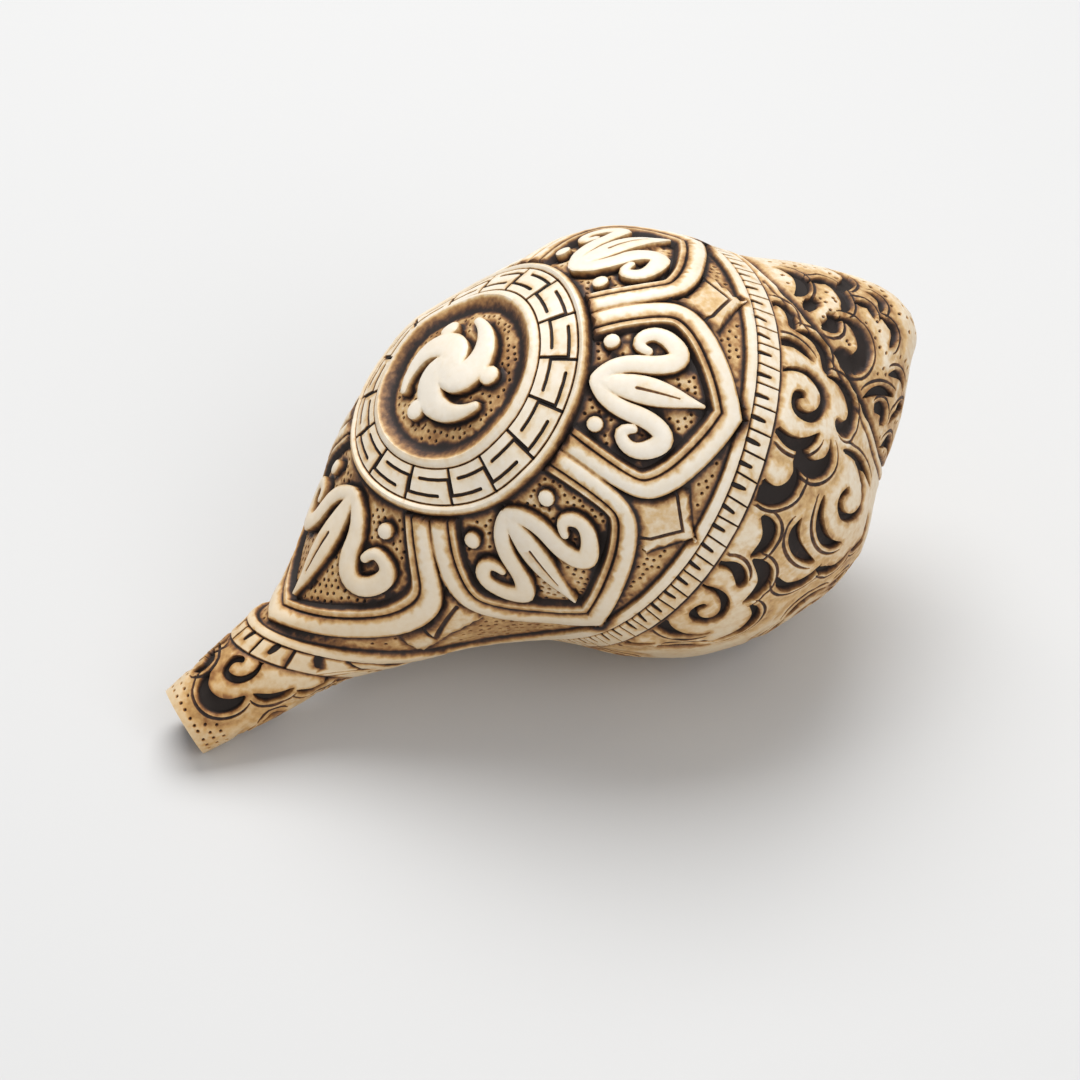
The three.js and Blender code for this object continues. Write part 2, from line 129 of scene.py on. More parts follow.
def surfacePoint(place, turn):
    return axisPoint(place) + outward(turn) * radiusAt(place, turn)[:, None]


def unit(v):
    return v / np.maximum(np.linalg.norm(v, axis=-1, keepdims=True), 1e-12)


probe = {"place": 0.4, "turn": 0.6}  # steps to both sides for the surface's slope


def surfaceNormal(place, turn):
    ahead, beside = probe["place"], probe["turn"]
    along = surfacePoint(place + ahead, turn) - surfacePoint(place - ahead, turn)
    around = surfacePoint(place, turn + beside) - surfacePoint(place, turn - beside)
    return unit(np.cross(along, around))


def shellCoordinates(points):
    place = np.clip((points - origin) @ axis, 0, shellForm["length"])
    q = points - axisPoint(place)
    return place, np.degrees(np.arctan2(-q @ beyond, -q @ dorsal))


# The medallion's middle on the back: the whole flower is set out by radius and turn about it.
hub = {"place": 71.3, "turn": 182.9, "reach": 68.0, "step": 0.5, "turnStep": 2.0}
hubPoint = surfacePoint(np.array([hub["place"]]), np.array([hub["turn"]]))[0]
hubNormal = surfaceNormal(np.array([hub["place"]]), np.array([hub["turn"]]))[0]
hubX = unit(axis - hubNormal * (axis @ hubNormal))
hubY = np.cross(hubNormal, hubX)


def walkTable():
    # place and turn on the shell for every radius and turn of the dial
    turns = np.radians(np.arange(0, 360, hub["turnStep"]))
    towards = np.outer(np.cos(turns), hubX) + np.outer(np.sin(turns), hubY)
    plane = unit(np.cross(np.tile(hubNormal, (len(turns), 1)), towards))
    point = np.tile(hubPoint, (len(turns), 1))
    place = np.full(len(turns), hub["place"])
    turn = np.full(len(turns), hub["turn"])
    places, shellTurns = [place], [turn]
    for radius in np.arange(hub["step"], hub["reach"], hub["step"]):
        for _ in range(4):
            gap = radius - np.linalg.norm(point - hubPoint, axis=1)
            ahead = unit(np.cross(plane, surfaceNormal(place, turn)))
            point = point + ahead * gap[:, None]
            point = point - plane * np.sum((point - hubPoint) * plane, axis=1)[:, None]
            place, turn = shellCoordinates(point)
            point = surfacePoint(place, turn)
        places.append(place)
        shellTurns.append(hub["turn"] + np.mod(turn - hub["turn"] + 180, 360) - 180)
    return np.array(places), np.array(shellTurns)


dialPlaces, dialTurns = walkTable()


def dialToShell(x, y):
    row = np.clip(np.hypot(x, y) / hub["step"], 0, len(dialPlaces) - 1.001)
    column = np.mod(np.degrees(np.arctan2(y, x)), 360) / hub["turnStep"]
    i, j = np.floor(row).astype(int), np.floor(column).astype(int)
    s, t = row - i, column - j
    count = dialPlaces.shape[1]
    j, k = j % count, (j + 1) % count

    def mix(table):
        low = table[i, j] * (1 - t) + table[i, k] * t
        return low * (1 - s) + (table[i + 1, j] * (1 - t) + table[i + 1, k] * t) * s

    return mix(dialPlaces), mix(dialTurns)


def shellToDial(place, turn):
    # x and y of the dial; points of the underside lie out of its reach
    q = surfacePoint(place, turn) - hubPoint
    facing = surfaceNormal(place, turn) @ hubNormal
    rho = np.linalg.norm(q, axis=1) + np.where(facing < -0.5, 100, 0)
    phi = np.arctan2(q @ hubY, q @ hubX)
    return rho * np.cos(phi), rho * np.sin(phi)


# Unrolled sheet on which the mesh is laid out: turn in radians, and length over radius.
sheetPlaces = np.linspace(0, shellForm["lastRow"], 1500)
sheetSlope = np.hypot(1, np.gradient(meanRadius(sheetPlaces), sheetPlaces)) / meanRadius(sheetPlaces)
sheetV = np.concatenate(([0], np.cumsum((sheetSlope[1:] + sheetSlope[:-1]) / 2 * np.diff(sheetPlaces))))


def toSheet(place, turn):
    return np.radians(np.mod(turn, 360)), np.interp(place, sheetPlaces, sheetV)


def fromSheet(u, v):
    return np.interp(v, sheetV, sheetPlaces), np.degrees(u)


def polar(rho, phi):
    return rho * math.cos(math.radians(phi)), rho * math.sin(math.radians(phi))


def smoothLine(points, step):
    # even points on a soft curve through the given ones
    p = np.array(points, float)
    count = len(p)
    if count > 2:
        gap = np.maximum(np.linalg.norm(np.diff(p, axis=0), axis=1), 1e-6)
        system, right = np.zeros((count, count)), np.zeros((count, 2))
        system[0, :2] = system[-1, -2:] = (1, -1)
        for i in range(1, count - 1):
            system[i, i - 1:i + 2] = (gap[i - 1], 2 * (gap[i - 1] + gap[i]), gap[i])
            right[i] = 6 * ((p[i + 1] - p[i]) / gap[i] - (p[i] - p[i - 1]) / gap[i - 1])
        bend = np.linalg.solve(system, right)
        parts = []
        for i in range(count - 1):
            t = np.linspace(0, 1, 14, endpoint=False)[:, None]
            sag = ((1 - t) ** 3 - (1 - t)) * bend[i] + (t**3 - t) * bend[i + 1]
            parts.append(p[i] * (1 - t) + p[i + 1] * t + sag * gap[i] ** 2 / 6)
        p = np.vstack((*parts, p[-1:]))
    return evenLine(p, step)


def evenLine(points, step, corners=False):
    p = np.array(points, float)
    if corners:
        parts = [evenLine(p[i:i + 2], step)[:-1] for i in range(len(p) - 1)]
        return np.vstack((*parts, p[-1:]))
    length = np.concatenate(([0], np.cumsum(np.linalg.norm(np.diff(p, axis=0), axis=1))))
    count = max(int(round(length[-1] / step)), 1) + 1
    at = np.linspace(0, length[-1], count)
    return np.column_stack([np.interp(at, length, p[:, k]) for k in (0, 1)])


def lineNormals(line, closed=False):
    if closed:
        back = unit(line - np.roll(line, 1, axis=0))
        ahead = unit(np.roll(line, -1, axis=0) - line)
    else:
        steps = unit(np.diff(line, axis=0))
        back = np.vstack((steps[:1], steps))
        ahead = np.vstack((steps, steps[-1:]))
    along = unit(back + ahead)
    mitre = 1 / np.clip(np.sum(along * ahead, axis=1), 0.45, 1)
    return np.column_stack((-along[:, 1], along[:, 0])) * mitre[:, None]


strokes = []
farOff = -50.0  # stands for far outside every stroke


def addStroke(kind, line, half, level=1.0, onSheet=False, scale=(1.0, 1.0), onDart=False):
    # a carved or raised stroke: its middle line in local millimetres and its half width
    line = np.array(line, float)
    half = np.broadcast_to(np.array(half, float), (len(line),)).copy()
    strokes.append({
        "kind": kind, "line": line, "half": half, "level": level,
        "onSheet": onSheet, "scale": scale, "onDart": onDart,
    })


# Each kind of stroke: height and stain-and-shade by distance inside its edge, and edge rings for the mesh.
# The dark in cuts and lines is stain with painted shade; the dark foot of a raised stroke is painted shade.
strokeKinds = {
    "line": {
        "at": (0, 0.16, 0.3), "height": (0, -0.38, -0.42), "stainAndShade": (0.2, 1, 1),
        "rings": (0, 0.16), "middle": True,
    },
    "cut": {
        "at": (0, 0.28, 0.9), "height": (0, -1.15, -1.3), "stainAndShade": (0.25, 0.97, 1),
        "rings": (0, 0.28), "middle": True,
    },
    "raised": {
        "at": (0, 0.22, 0.7, 1.8), "height": (0, 0.86, 1, 1.06), "stainAndShade": (0.9, 0.16, 0.02, 0),
        "rings": (0, 0.22, 0.7), "middle": True,
    },
    "ground": {
        "at": (0, 0.7, 1.4), "height": (0, -0.25, -0.35), "stainAndShade": (0.1, 0.24, 0.3),
        "rings": (), "middle": False,
    },
}


def profile(form, distance):
    # height and stain of a form at distances across it
    return [np.interp(distance, form["at"], form[name]) for name in ("height", "stainAndShade")]


def sheetScale(place, turn):
    return (
        float(radiusAt(np.array([place]), np.array([turn]))[0]),
        float(meanRadius(np.array([place]))[0]),
    )


def sheetLine(spots, step):
    # soft line through places and turns, in millimetres on the sheet, and the sheet's scale there
    spots = np.array(spots, float)
    scale = np.array(sheetScale(spots[:, 0].mean(), spots[:, 1].mean()))
    v = np.interp(spots[:, 0], sheetPlaces, sheetV)
    return smoothLine(np.column_stack((np.radians(spots[:, 1]) * scale[0], v * scale[1])), step), scale


def addSheetStroke(kind, spots, half, taper):
    line, scale = sheetLine(spots, 0.55)
    width = half * taper(np.linspace(0, 1, len(line)))
    addStroke(kind, line / scale, width, onSheet=True, scale=tuple(scale))


# Ends of the rings round strokes: smallest half width, and turns of the corners of a round end.
strokeEnds = {
    "least": 0.03, "pointed": 0.12, "wide": 0.6,
    "wideCorners": (60, 30, 0, -30, -60), "corners": (45, 0, -45),
}


def strokeRing(stroke, inside):
    # closed ring round a stroke at a distance inside its edge
    scale = np.array(stroke["scale"])
    line = stroke["line"] * scale
    reach = stroke["half"] - inside
    good = reach > strokeEnds["least"]
    if good.sum() < 2:
        return None
    line, reach = line[good], reach[good]
    side = lineNormals(line) * reach[:, None]
    ring = [*(line + side)]
    for end, before in ((-1, -2), (0, 1)):
        middle, r = line[end], reach[end]
        along = unit(line[end] - line[before])
        across = np.array((-along[1], along[0]))
        if r > strokeEnds["pointed"]:
            corners = strokeEnds["wideCorners" if r > strokeEnds["wide"] else "corners"]
            for a in np.radians(corners):
                ring.append(middle + r * (along * math.cos(a) + across * math.sin(a)))
        else:
            ring.append(middle + along * r)
        if end == -1:
            ring.extend((line - side)[::-1])
    return np.array(ring) / scale


def strokeInside(stroke, x, y, su, sv):
    # distance inside the stroke's edge, below zero outside
    line, half = stroke["line"], stroke["half"]
    if stroke["onSheet"]:
        ax = np.mod(line[None, :, 0] - x[:, None] + math.pi, 2 * math.pi) - math.pi
        ax = ax * su[:, None]
        ay = (line[None, :, 1] - y[:, None]) * sv[:, None]
    else:
        ax, ay = line[None, :, 0] - x[:, None], line[None, :, 1] - y[:, None]
    bx, by = ax[:, 1:] - ax[:, :-1], ay[:, 1:] - ay[:, :-1]
    t = np.clip(-(ax[:, :-1] * bx + ay[:, :-1] * by) / np.maximum(bx * bx + by * by, 1e-12), 0, 1)
    away = np.hypot(ax[:, :-1] + t * bx, ay[:, :-1] + t * by)
    return (half[:-1] + (half[1:] - half[:-1]) * t - away).max(axis=1)


def nearStroke(stroke, x, y, su, sv, margin):
    # which points lie near a stroke, and how far inside it they are
    line = stroke["line"]
    reach = stroke["half"].max() + margin
    low, high = line.min(axis=0), line.max(axis=0)
    if stroke["onSheet"]:
        rx, ry = reach / min(stroke["scale"][0], 60) * 1.3, reach / stroke["scale"][1] * 1.3
        middle = (low[0] + high[0]) / 2
        off = np.abs(np.mod(x - middle + math.pi, 2 * math.pi) - math.pi)
        near = (off < (high[0] - low[0]) / 2 + rx) & (y > low[1] - ry) & (y < high[1] + ry)
    else:
        near = (x > low[0] - reach) & (x < high[0] + reach) & (y > low[1] - reach) & (y < high[1] + reach)
    found = np.flatnonzero(near)
    if not len(found):
        return found, np.zeros(0)
    return found, strokeInside(stroke, x[found], y[found], su[found], sv[found])


def nearestStroke(kinds, onSheet, x, y, su, sv, margin):
    # how far inside any stroke of these kinds each point is
    best = np.full(len(x), farOff)
    for stroke in strokes:
        if stroke["kind"] in kinds and stroke["onSheet"] == onSheet:
            found, inside = nearStroke(stroke, x, y, su, sv, margin)
            best[found] = np.maximum(best[found], inside)
    return best


# Medallion: height and stain-and-shade by radius from its middle, and its key pattern.
medallion = {
    "at": (
        0, 13.6, 14.0, 14.9, 15.7, 16.2, 16.9, 17.5, 17.72, 17.95, 23.5, 23.75, 24.0, 24.5, 25.1, 25.5, 25.9,
    ),
    "height": (
        -1.35, -1.35, -1.3, -0.6, 0.2, 0.62, 0.62, 0.32, -0.1, 0.3, 0.3, -0.1, 0.34, 0.6, 0.45, -0.2, -1.1,
    ),
    "stainAndShade": (
        0.24, 0.34, 0.95, 0.66, 0.45, 0.12, 0.05, 0.1, 1, 0.05, 0.05, 1, 0.08, 0.05, 0.3, 0.62, 0.98,
    ),
    "firstRing": 2, "ringSteps": (0.65, 0.75), "stepChange": 16,  # rings and spacing for the mesh
    # the dark foot just outside its edge is painted shade
    "edge": 25.9, "foot": (25.9, 26.7, 28), "footShade": (1.0, 0.55, 0),
    "swell": 0.9, "swellTurn": 310, "swellRadii": (15, 24),  # the rings are a little wider on this side
    "keyUnits": 16, "keyStart": 4, "keyInner": 17.85, "keyOuter": 23.65, "lineHalf": 0.35,
    # one unit of the key: two hooks, each with its leg's radius share and its turns
    "outLeg": 0.24, "outHook": (0.05, 0.25, 0.5, 0.72), "backLeg": 0.3, "backHook": (1.0, 0.75, 0.5, 0.27),
}


def ringSwell(phi, radius):
    swell = medallion["swell"] * np.cos(np.radians(phi - medallion["swellTurn"]))
    return swell * smoothstep(radius, *medallion["swellRadii"])


def keyPattern():
    width = 360 / medallion["keyUnits"]
    low, high = medallion["keyInner"], medallion["keyOuter"]
    outLeg, backLeg = high - medallion["outLeg"] * (high - low), low + medallion["backLeg"] * (high - low)
    for unitIndex in range(medallion["keyUnits"]):
        start = unitIndex * width + medallion["keyStart"]
        for foot, leg, hook in ((low, outLeg, "outHook"), (high, backLeg, "backHook")):
            shares = medallion[hook]
            route = [(foot, shares[0])] + [(leg, share) for share in shares]
            points = []
            for rho, share in route:
                phi = start + share * width
                points.append(polar(rho + ringSwell(phi, rho), phi))
            addStroke("line", evenLine(points, 0.8, True), medallion["lineHalf"])


# Whirl of three scrolls and three round bosses in the disc.
whirl = {
    "arms": 3, "points": 24, "from": 0.6, "to": 10.4, "sweep": 150, "thin": 0.75, "half": 2.5,
    "boss": 9.2, "bossTurn": 64, "bossHalf": 1.9, "bossLength": 0.15,
}


def addBoss(x, y, length, half):
    addStroke("raised", [(x - length, y), (x + length, y)], half)


def whirlStrokes():
    t = np.linspace(0, 1, whirl["points"])
    rho = whirl["from"] + (whirl["to"] - whirl["from"]) * t**0.9
    half = whirl["thin"] + whirl["half"] * np.sin(np.pi * (0.22 + 0.74 * t)) * (1 - 0.3 * t)
    for k in range(whirl["arms"]):
        turn = k * 360 // whirl["arms"]
        addStroke("raised", [polar(a, turn + whirl["sweep"] * b) for a, b in zip(rho, t)], half)
        addBoss(*polar(whirl["boss"], turn + whirl["bossTurn"]), whirl["bossLength"], whirl["bossHalf"])


# Petals: turn of the tip and of the grooves on both sides, radius of the tip, and how pointed.
petals = [
    {"tip": 7.2, "from": -20.7, "to": 35, "reach": 52.5, "point": 1},
    {"tip": 62.7, "from": 35, "to": 90.5, "reach": 52.5, "point": 1},
    {"tip": 118.3, "from": 90.5, "to": 146, "reach": 52.5, "point": 1},
    {"tip": 182, "from": 146, "to": 217.5, "reach": 56.4, "point": 1.6},
    {"tip": 249, "from": 217.5, "to": 283.5, "reach": 52.3, "point": 1},
    {"tip": 312, "from": 283.5, "to": 339.3, "reach": 52.5, "point": 1},
]
petalEdge = {  # share of the half width, and radius short of the tip
    "share": (1, 1, 0.985, 0.95, 0.86, 0.66, 0.48, 0.3, 0.12, 0),
    "short": (28.5, 14, 11.5, 9.6, 8, 5.5, 3.9, 2.3, 0.85, 0),
    "base": 25.0, "softening": 22,
}
petalProfile = {  # distance in from the petal's edge
    "at": (0, 0.32, 0.8, 2.0, 3.0, 3.12, 3.42, 3.72, 3.9, 4.5, 4.9, 5.35, 5.8, 6.8),
    "height": (
        -1.0, 0.02, 0.3, 0.42, 0.3, 0.15, -0.32, 0.05, 0.2, 0.08, -0.55, -1.25, -1.15, -1.1,
    ),
    "stainAndShade": (1, 0.42, 0.07, 0.02, 0.08, 0.4, 1, 0.4, 0.08, 0.16, 0.85, 1, 0.45, 0.22),
    "rings": (0.32, 0.8, 3.12, 3.42, 3.72, 4.45, 4.9, 5.35),
    # the ground just outside the petal's edge is darker: painted shade at the wall's foot
    "ground": (-1.6, -0.4, 0), "groundShade": (0, 0.65, 1),
}


def petalPath(petal):
    share = np.array(petalEdge["share"])
    short = np.array(petalEdge["short"]) * petal["point"]
    base = petalEdge["base"]
    sides = []
    for limit in (petal["from"], petal["to"]):
        rho = np.maximum(petal["reach"] - short, base)
        phi = petal["tip"] + (limit - petal["tip"]) * share
        corners = [polar(a, b) for a, b in zip(rho, phi)]
        corners[0] = polar(base, limit)
        sides.append(smoothLine(corners, 0.7))
    path = np.vstack((sides[0], sides[1][::-1][1:]))
    fixed = [0, len(sides[0]) - 1, len(path) - 1]
    held = path[fixed]
    for _ in range(petalEdge["softening"]):
        path[1:-1] = path[1:-1] / 2 + (path[:-2] + path[2:]) / 4
        path[fixed] = held
    return path


for petal in petals:
    petal["path"] = petalPath(petal)


def windingInside(path, x, y):
    # whether points lie in the closed outline from the middle round the path
    ring = np.vstack(([0.0, 0.0], path))
    a, b = ring, np.roll(ring, -1, axis=0)
    crossing = (a[None, :, 1] > y[:, None]) != (b[None, :, 1] > y[:, None])
    rise = np.where(b[:, 1] == a[:, 1], 1e-9, b[:, 1] - a[:, 1])
    at = a[None, :, 0] + (y[:, None] - a[None, :, 1]) * ((b[:, 0] - a[:, 0]) / rise)[None, :]
    return (crossing & (x[:, None] < at)).sum(axis=1) % 2 == 1


def pathDistance(path, x, y):
    thin = {"line": path, "half": np.zeros(len(path)), "onSheet": False}
    return -strokeInside(thin, x, y, x, y)


def petalInside(x, y):
    # distance in from the edge of the petal that a point is in, below zero outside them all
    best = np.full(len(x), farOff)
    for petal in petals:
        low, high = petal["path"].min(axis=0) - 4, petal["path"].max(axis=0) + 4  # with room round it
        low, high = np.minimum(low, -1), np.maximum(high, 1)
        near = np.flatnonzero((x > low[0]) & (x < high[0]) & (y > low[1]) & (y < high[1]))
        for part in np.array_split(near, max(len(near) // 4000, 1)):
            if len(part):
                away = pathDistance(petal["path"], x[part], y[part])
                inside = windingInside(petal["path"], x[part], y[part])
                best[part] = np.maximum(best[part], np.where(inside, away, -away))
    return best


def insideOfPath():
    # 1 where a petal lies on the left of its line, -1 where it lies on the right
    path = petals[0]["path"]
    spot = (path + lineNormals(path))[8]
    return -1 if petalInside(spot[:1], spot[1:])[0] < 0 else 1


petalSide = insideOfPath()

# Leaf ornament of each petal, in radius from the medallion and distance across from the middle line.
leafForm = {
    "points": 24, "base": 28.2, "leafLength": 17.6, "leafThin": 0.5, "leafHalf": 3.0,
    "plainReach": 52.4, "plainWidth": 62,  # of a petal that the ornament fits as it is
    "veinFrom": 9, "veinTo": -5, "veinHalf": (0.34, 0.2), "veinLevel": 0.6,
    "scrollHalf": 1.75, "scrollAcross": 0.93,
    "scroll": [
        (28.4, 0.4), (31.0, 3.6), (34.4, 5.2), (38.4, 6.3), (41.2, 9.0),
        (39.8, 12.2), (36.4, 12.6), (34.7, 10.2), (36.2, 8.6),
    ],
    "boss": (30.2, 8.6), "bossHalf": 1.5, "bossLength": 0.1,
}


def petalSpot(petal, rho, across):
    return polar(rho, petal["tip"] + math.degrees(across / rho))


def petalOrnament():
    form = leafForm
    for petal in petals:
        wide = (petal["to"] - petal["from"]) / form["plainWidth"]
        length = form["leafLength"] + (petal["reach"] - form["plainReach"])
        t = np.linspace(0, 1, form["points"])
        leaf = [petalSpot(petal, form["base"] + length * s, 0) for s in t]
        belly = form["leafHalf"] * np.sin(np.pi * (0.18 + 0.8 * t)) ** 1.4 * (0.5 + 0.55 * t)
        addStroke("raised", leaf, form["leafThin"] + belly)
        vein = leaf[form["veinFrom"]:form["veinTo"]]
        addStroke("line", vein, np.linspace(*form["veinHalf"], len(vein)), form["veinLevel"])
        for sign in (-1, 1):
            spots = []
            for rho, across in form["scroll"]:
                spots.append(petalSpot(petal, rho, sign * across * wide * form["scrollAcross"]))
            line = smoothLine(spots, 0.7)
            t = np.linspace(0, 1, len(line))
            addStroke("raised", line, form["scrollHalf"] * (0.8 + 0.3 * np.sin(np.pi * t) - 0.25 * t**3))
            rho, across = form["boss"]
            addBoss(*petalSpot(petal, rho, sign * across * wide), form["bossLength"], form["bossHalf"])


# Darts behind the petals: turn of the tip, over the grooves between them.
darts = {
    "tips": (341.6, 284.5, 89.5, 33.4), "reach": 52.4, "root": 47.8, "halfTurn": 9.8, "base": 38.0,
    "innerReach": 50.0, "innerRoot": 46.6, "innerTurn": 6.2, "side": 3, "room": 14,
    # the two beside the canal lean towards it
    "leaning": [
        {
            "outer": [(44.6, 203.6), (52.4, 202.8), (45.0, 219.5)],
            "inner": [(43.8, 208.2), (48.9, 207.6), (41.6, 217.6)],
        },
        {
            "outer": [(45.0, 143.5), (52.4, 160.2), (44.6, 159.4)],
            "inner": [(41.6, 145.4), (48.9, 155.4), (43.8, 154.8)],
        },
    ],
    "lineLevel": 0.8, "rings": (0, 0.3), "until": -0.6,
    "at": (0, 0.3, 0.9), "height": (-0.95, -0.2, -0.05),
    # dark along the dart's edge and on the ground just outside it: stain with painted shade at the walls
    "stainAndShadeAt": (0, 0.3, 0.8, 4), "stainAndShade": (0.9, 0.4, 0.12, 0.2),
    "ground": (-1.0, -0.25, 0), "groundShade": (0, 0.6, 0.95),
}


def dartPaths():
    found = []
    half, inner, side = darts["halfTurn"], darts["innerTurn"], darts["side"]
    root, innerRoot = darts["root"], darts["innerRoot"]
    for tip in darts["tips"]:
        outerSpots = [(root, tip - half), (darts["reach"], tip), (root, tip + half)]
        innerSpots = [
            (innerRoot - side, tip - inner - side), (innerRoot, tip - inner), (darts["innerReach"], tip),
            (innerRoot, tip + inner), (innerRoot - side, tip + inner + side),
        ]
        found.append((outerSpots, innerSpots))
    found += [(dart["outer"], dart["inner"]) for dart in darts["leaning"]]
    return [[np.array([polar(*spot) for spot in spots]) for spots in pair] for pair in found]


def dartStrokes():
    for _, inner in dartPaths():
        line = evenLine(inner, 0.9, True)
        addStroke("line", line, medallion["lineHalf"], darts["lineLevel"], onDart=True)


def dartInside(x, y):
    # distance in from the dart's two long sides
    best = np.full(len(x), farOff)
    for path, _ in dartPaths():
        foot = unit(path[0] + path[2]) * darts["base"]
        middle = np.vstack((path, [foot])).mean(axis=0)
        near = np.flatnonzero(np.hypot(x - middle[0], y - middle[1]) < darts["room"])
        if len(near):
            away = pathDistance(path, x[near], y[near])
            inside = windingInside(path, x[near], y[near])
            best[near] = np.maximum(best[near], np.where(inside, away, -away))
    return best


# Border line, tick band and the edge of the scroll ground, by distance out from the border radius.
border = {
    "radius": 52.7, "swell": 6.6, "swellTurn": 176, "swellWidth": 19,
    "at": (-30, -1.9, -1.5, -1.18, -0.9, -0.2, 0.5, 0.78, 1.0, 1.3, 4.3, 4.62, 4.95, 5.6),
    "height": (
        -0.95, -0.95, -0.8, -0.75, 0.2, 0.36, 0.26, -0.28, 0.02, 0.08, 0.02, -0.4, -0.25, -0.12,
    ),
    "stainAndShade": (0.2, 0.3, 0.62, 1, 0.12, 0.03, 0.12, 0.9, 0.3, 0.07, 0.1, 1.0, 0.42, 0.22),
    "end": 5.2, "ringStep": 0.85,
}
ticks = {
    "pairs": 74, "from": 1.0, "to": 4.5, "shortTo": 2.7, "longHalf": 0.27, "shortHalf": 0.56,
    "shake": 0.12, "lean": 0.15, "level": 1.1, "startShare": 0.95, "endShare": 0.75,
}


def borderRadius(phi):
    off = (np.mod(phi - border["swellTurn"] + 180, 360) - 180) / border["swellWidth"]
    return border["radius"] + border["swell"] * np.exp(-off * off)


def borderOffset(x, y):
    return np.hypot(x, y) - borderRadius(np.degrees(np.arctan2(y, x)))


def tickStrokes():
    pitch = 360 / ticks["pairs"]
    for i in range(ticks["pairs"]):
        for place, reach, half in ((i, "to", "longHalf"), (i + 0.5, "shortTo", "shortHalf")):
            turn = place * pitch + dice.normal(0, ticks["shake"])
            r = borderRadius(turn)
            lean = dice.normal(0, ticks["lean"])
            end = r + ticks[reach] + dice.normal(0, ticks["shake"])
            line = evenLine([polar(r + ticks["from"], turn), polar(end, turn + lean)], 1.2)
            width = np.full(len(line), ticks[half])
            width[0] *= ticks["startShare"]
            width[-1] *= ticks["endShare"]
            addStroke("line", line, width, ticks["level"])


# Scrolls and commas seen in the photograph's view, as places and turns, with half width and
# where they are fattest: 0 at the start, 1 at the end.
commas = [
    # body whorl beside the band and under the suture
    ([(124.6, 156.0), (127.2, 152.5), (126.6, 144.5)], 0.95, 0.8),
    ([(126.6, 141.5), (128.8, 134.5), (127.6, 122.5)], 1.0, 0.8),
    ([(120.8, 138.5), (124.4, 137.0), (126.1, 127.6)], 0.85, 0.6),
    ([(126.9, 120.0), (128.9, 111.0), (128.0, 101.8), (125.6, 99.4), (124.1, 103.6)], 1.15, 0.8),
    ([(113.2, 119.5), (115.0, 111.0), (119.8, 108.4)], 0.95, 0.5),
    ([(114.8, 107.2), (115.6, 101.8), (118.5, 99.9), (121.2, 103.6)], 1.3, 0.2),
    ([(105.4, 108.6), (107.8, 102.6), (111.6, 103.0), (113.3, 107.8)], 1.45, 0.2),
    ([(122.8, 96.5), (125.1, 83.0), (125.0, 71.0)], 0.8, 0.4),
    ([(115.2, 92.9), (112.4, 87.9), (112.0, 80.3), (114.6, 73.9)], 0.85, 0.35),
    ([(109.5, 92.9), (107.0, 89.2), (106.9, 82.8), (108.5, 76.8)], 0.95, 0.35),
    ([(103.7, 100.0), (103.5, 94.9), (98.9, 91.8)], 1.2, 0.45),
    ([(98.9, 90.4), (99.4, 83.1), (94.2, 78.6)], 1.2, 0.45),
    ([(91.5, 95.2), (94.7, 93.3), (95.3, 86.0)], 0.9, 0.7),
    ([(80.6, 84.9), (81.0, 76.3), (83.6, 72.2), (86.8, 71.0)], 0.95, 0.25),
    ([(95.0, 76.6), (95.2, 70.6), (91.0, 65.2), (87.0, 64.8)], 0.75, 0.4),
    ([(101.4, 80.0), (101.8, 75.6), (104.5, 72.6), (109.5, 73.6)], 0.9, 0.35),
    ([(109.2, 71.4), (112.0, 66.8), (115.4, 66.2)], 0.8, 0.3),
    ([(116.2, 65.2), (119.0, 62.0), (122.4, 64.0)], 0.8, 0.4),
    ([(78.6, 67.2), (82.8, 65.4), (86.2, 62.6)], 0.6, 0.3),
    ([(70.4, 74.6), (73.6, 71.4), (77.6, 70.4)], 0.75, 0.3),
    ([(62.6, 71.0), (66.4, 67.0), (71.0, 66.6)], 0.75, 0.3),
    # spire behind the suture
    ([(131.2, 184.5), (133.4, 174.0), (131.9, 162.4), (130.5, 159.8)], 1.15, 0.6),
    ([(134.8, 172.0), (138.2, 170.5), (138.6, 156.5), (136.6, 146.2)], 1.15, 0.65),
    ([(130.6, 151.0), (133.4, 156.0)], 1.0, 0.4),
    ([(131.6, 140.3), (133.2, 138.8), (134.4, 144.6)], 1.1, 0.4),
    ([(134.9, 142.2), (137.4, 130.7), (136.2, 119.3), (132.8, 117.0), (132.0, 123.0)], 1.5, 0.75),
    ([(140.0, 203.0), (142.0, 187.2), (139.9, 170.0)], 0.95, 0.7),
    ([(143.6, 168.0), (144.9, 156.0), (143.6, 142.6)], 0.7, 0.6),
    ([(139.9, 152.4), (141.9, 148.0), (141.4, 136.6)], 0.8, 0.6),
    ([(142.8, 137.0), (143.9, 119.0), (141.3, 110.6)], 0.85, 0.6),
    ([(131.6, 101.2), (134.2, 98.5), (137.6, 82.0)], 0.75, 0.4),
    ([(132.4, 92.2), (134.0, 86.5), (132.8, 80.4)], 1.1, 0.5),
    ([(134.4, 74.0), (137.4, 69.8), (139.0, 56.0)], 0.85, 0.4),
    ([(130.6, 72.5), (132.6, 67.0), (131.8, 54.0)], 0.95, 0.5),
    ([(138.6, 96.5), (140.6, 86.0), (140.4, 68.0)], 0.75, 0.5),
    # canal
    ([(8.6, 176.0), (6.3, 166.0), (6.1, 141.0), (8.1, 123.4), (11.6, 120.0)], 1.15, 0.45),
    ([(6.3, 206.0), (8.4, 193.5), (10.8, 222.0)], 1.0, 0.4),
    ([(13.4, 116.0), (15.6, 99.0), (19.8, 94.0)], 0.75, 0.4),
    ([(20.2, 88.0), (21.8, 75.0), (26.2, 76.0)], 0.7, 0.35),
    ([(27.6, 72.0), (29.8, 63.0), (33.6, 66.0)], 0.7, 0.35),
]
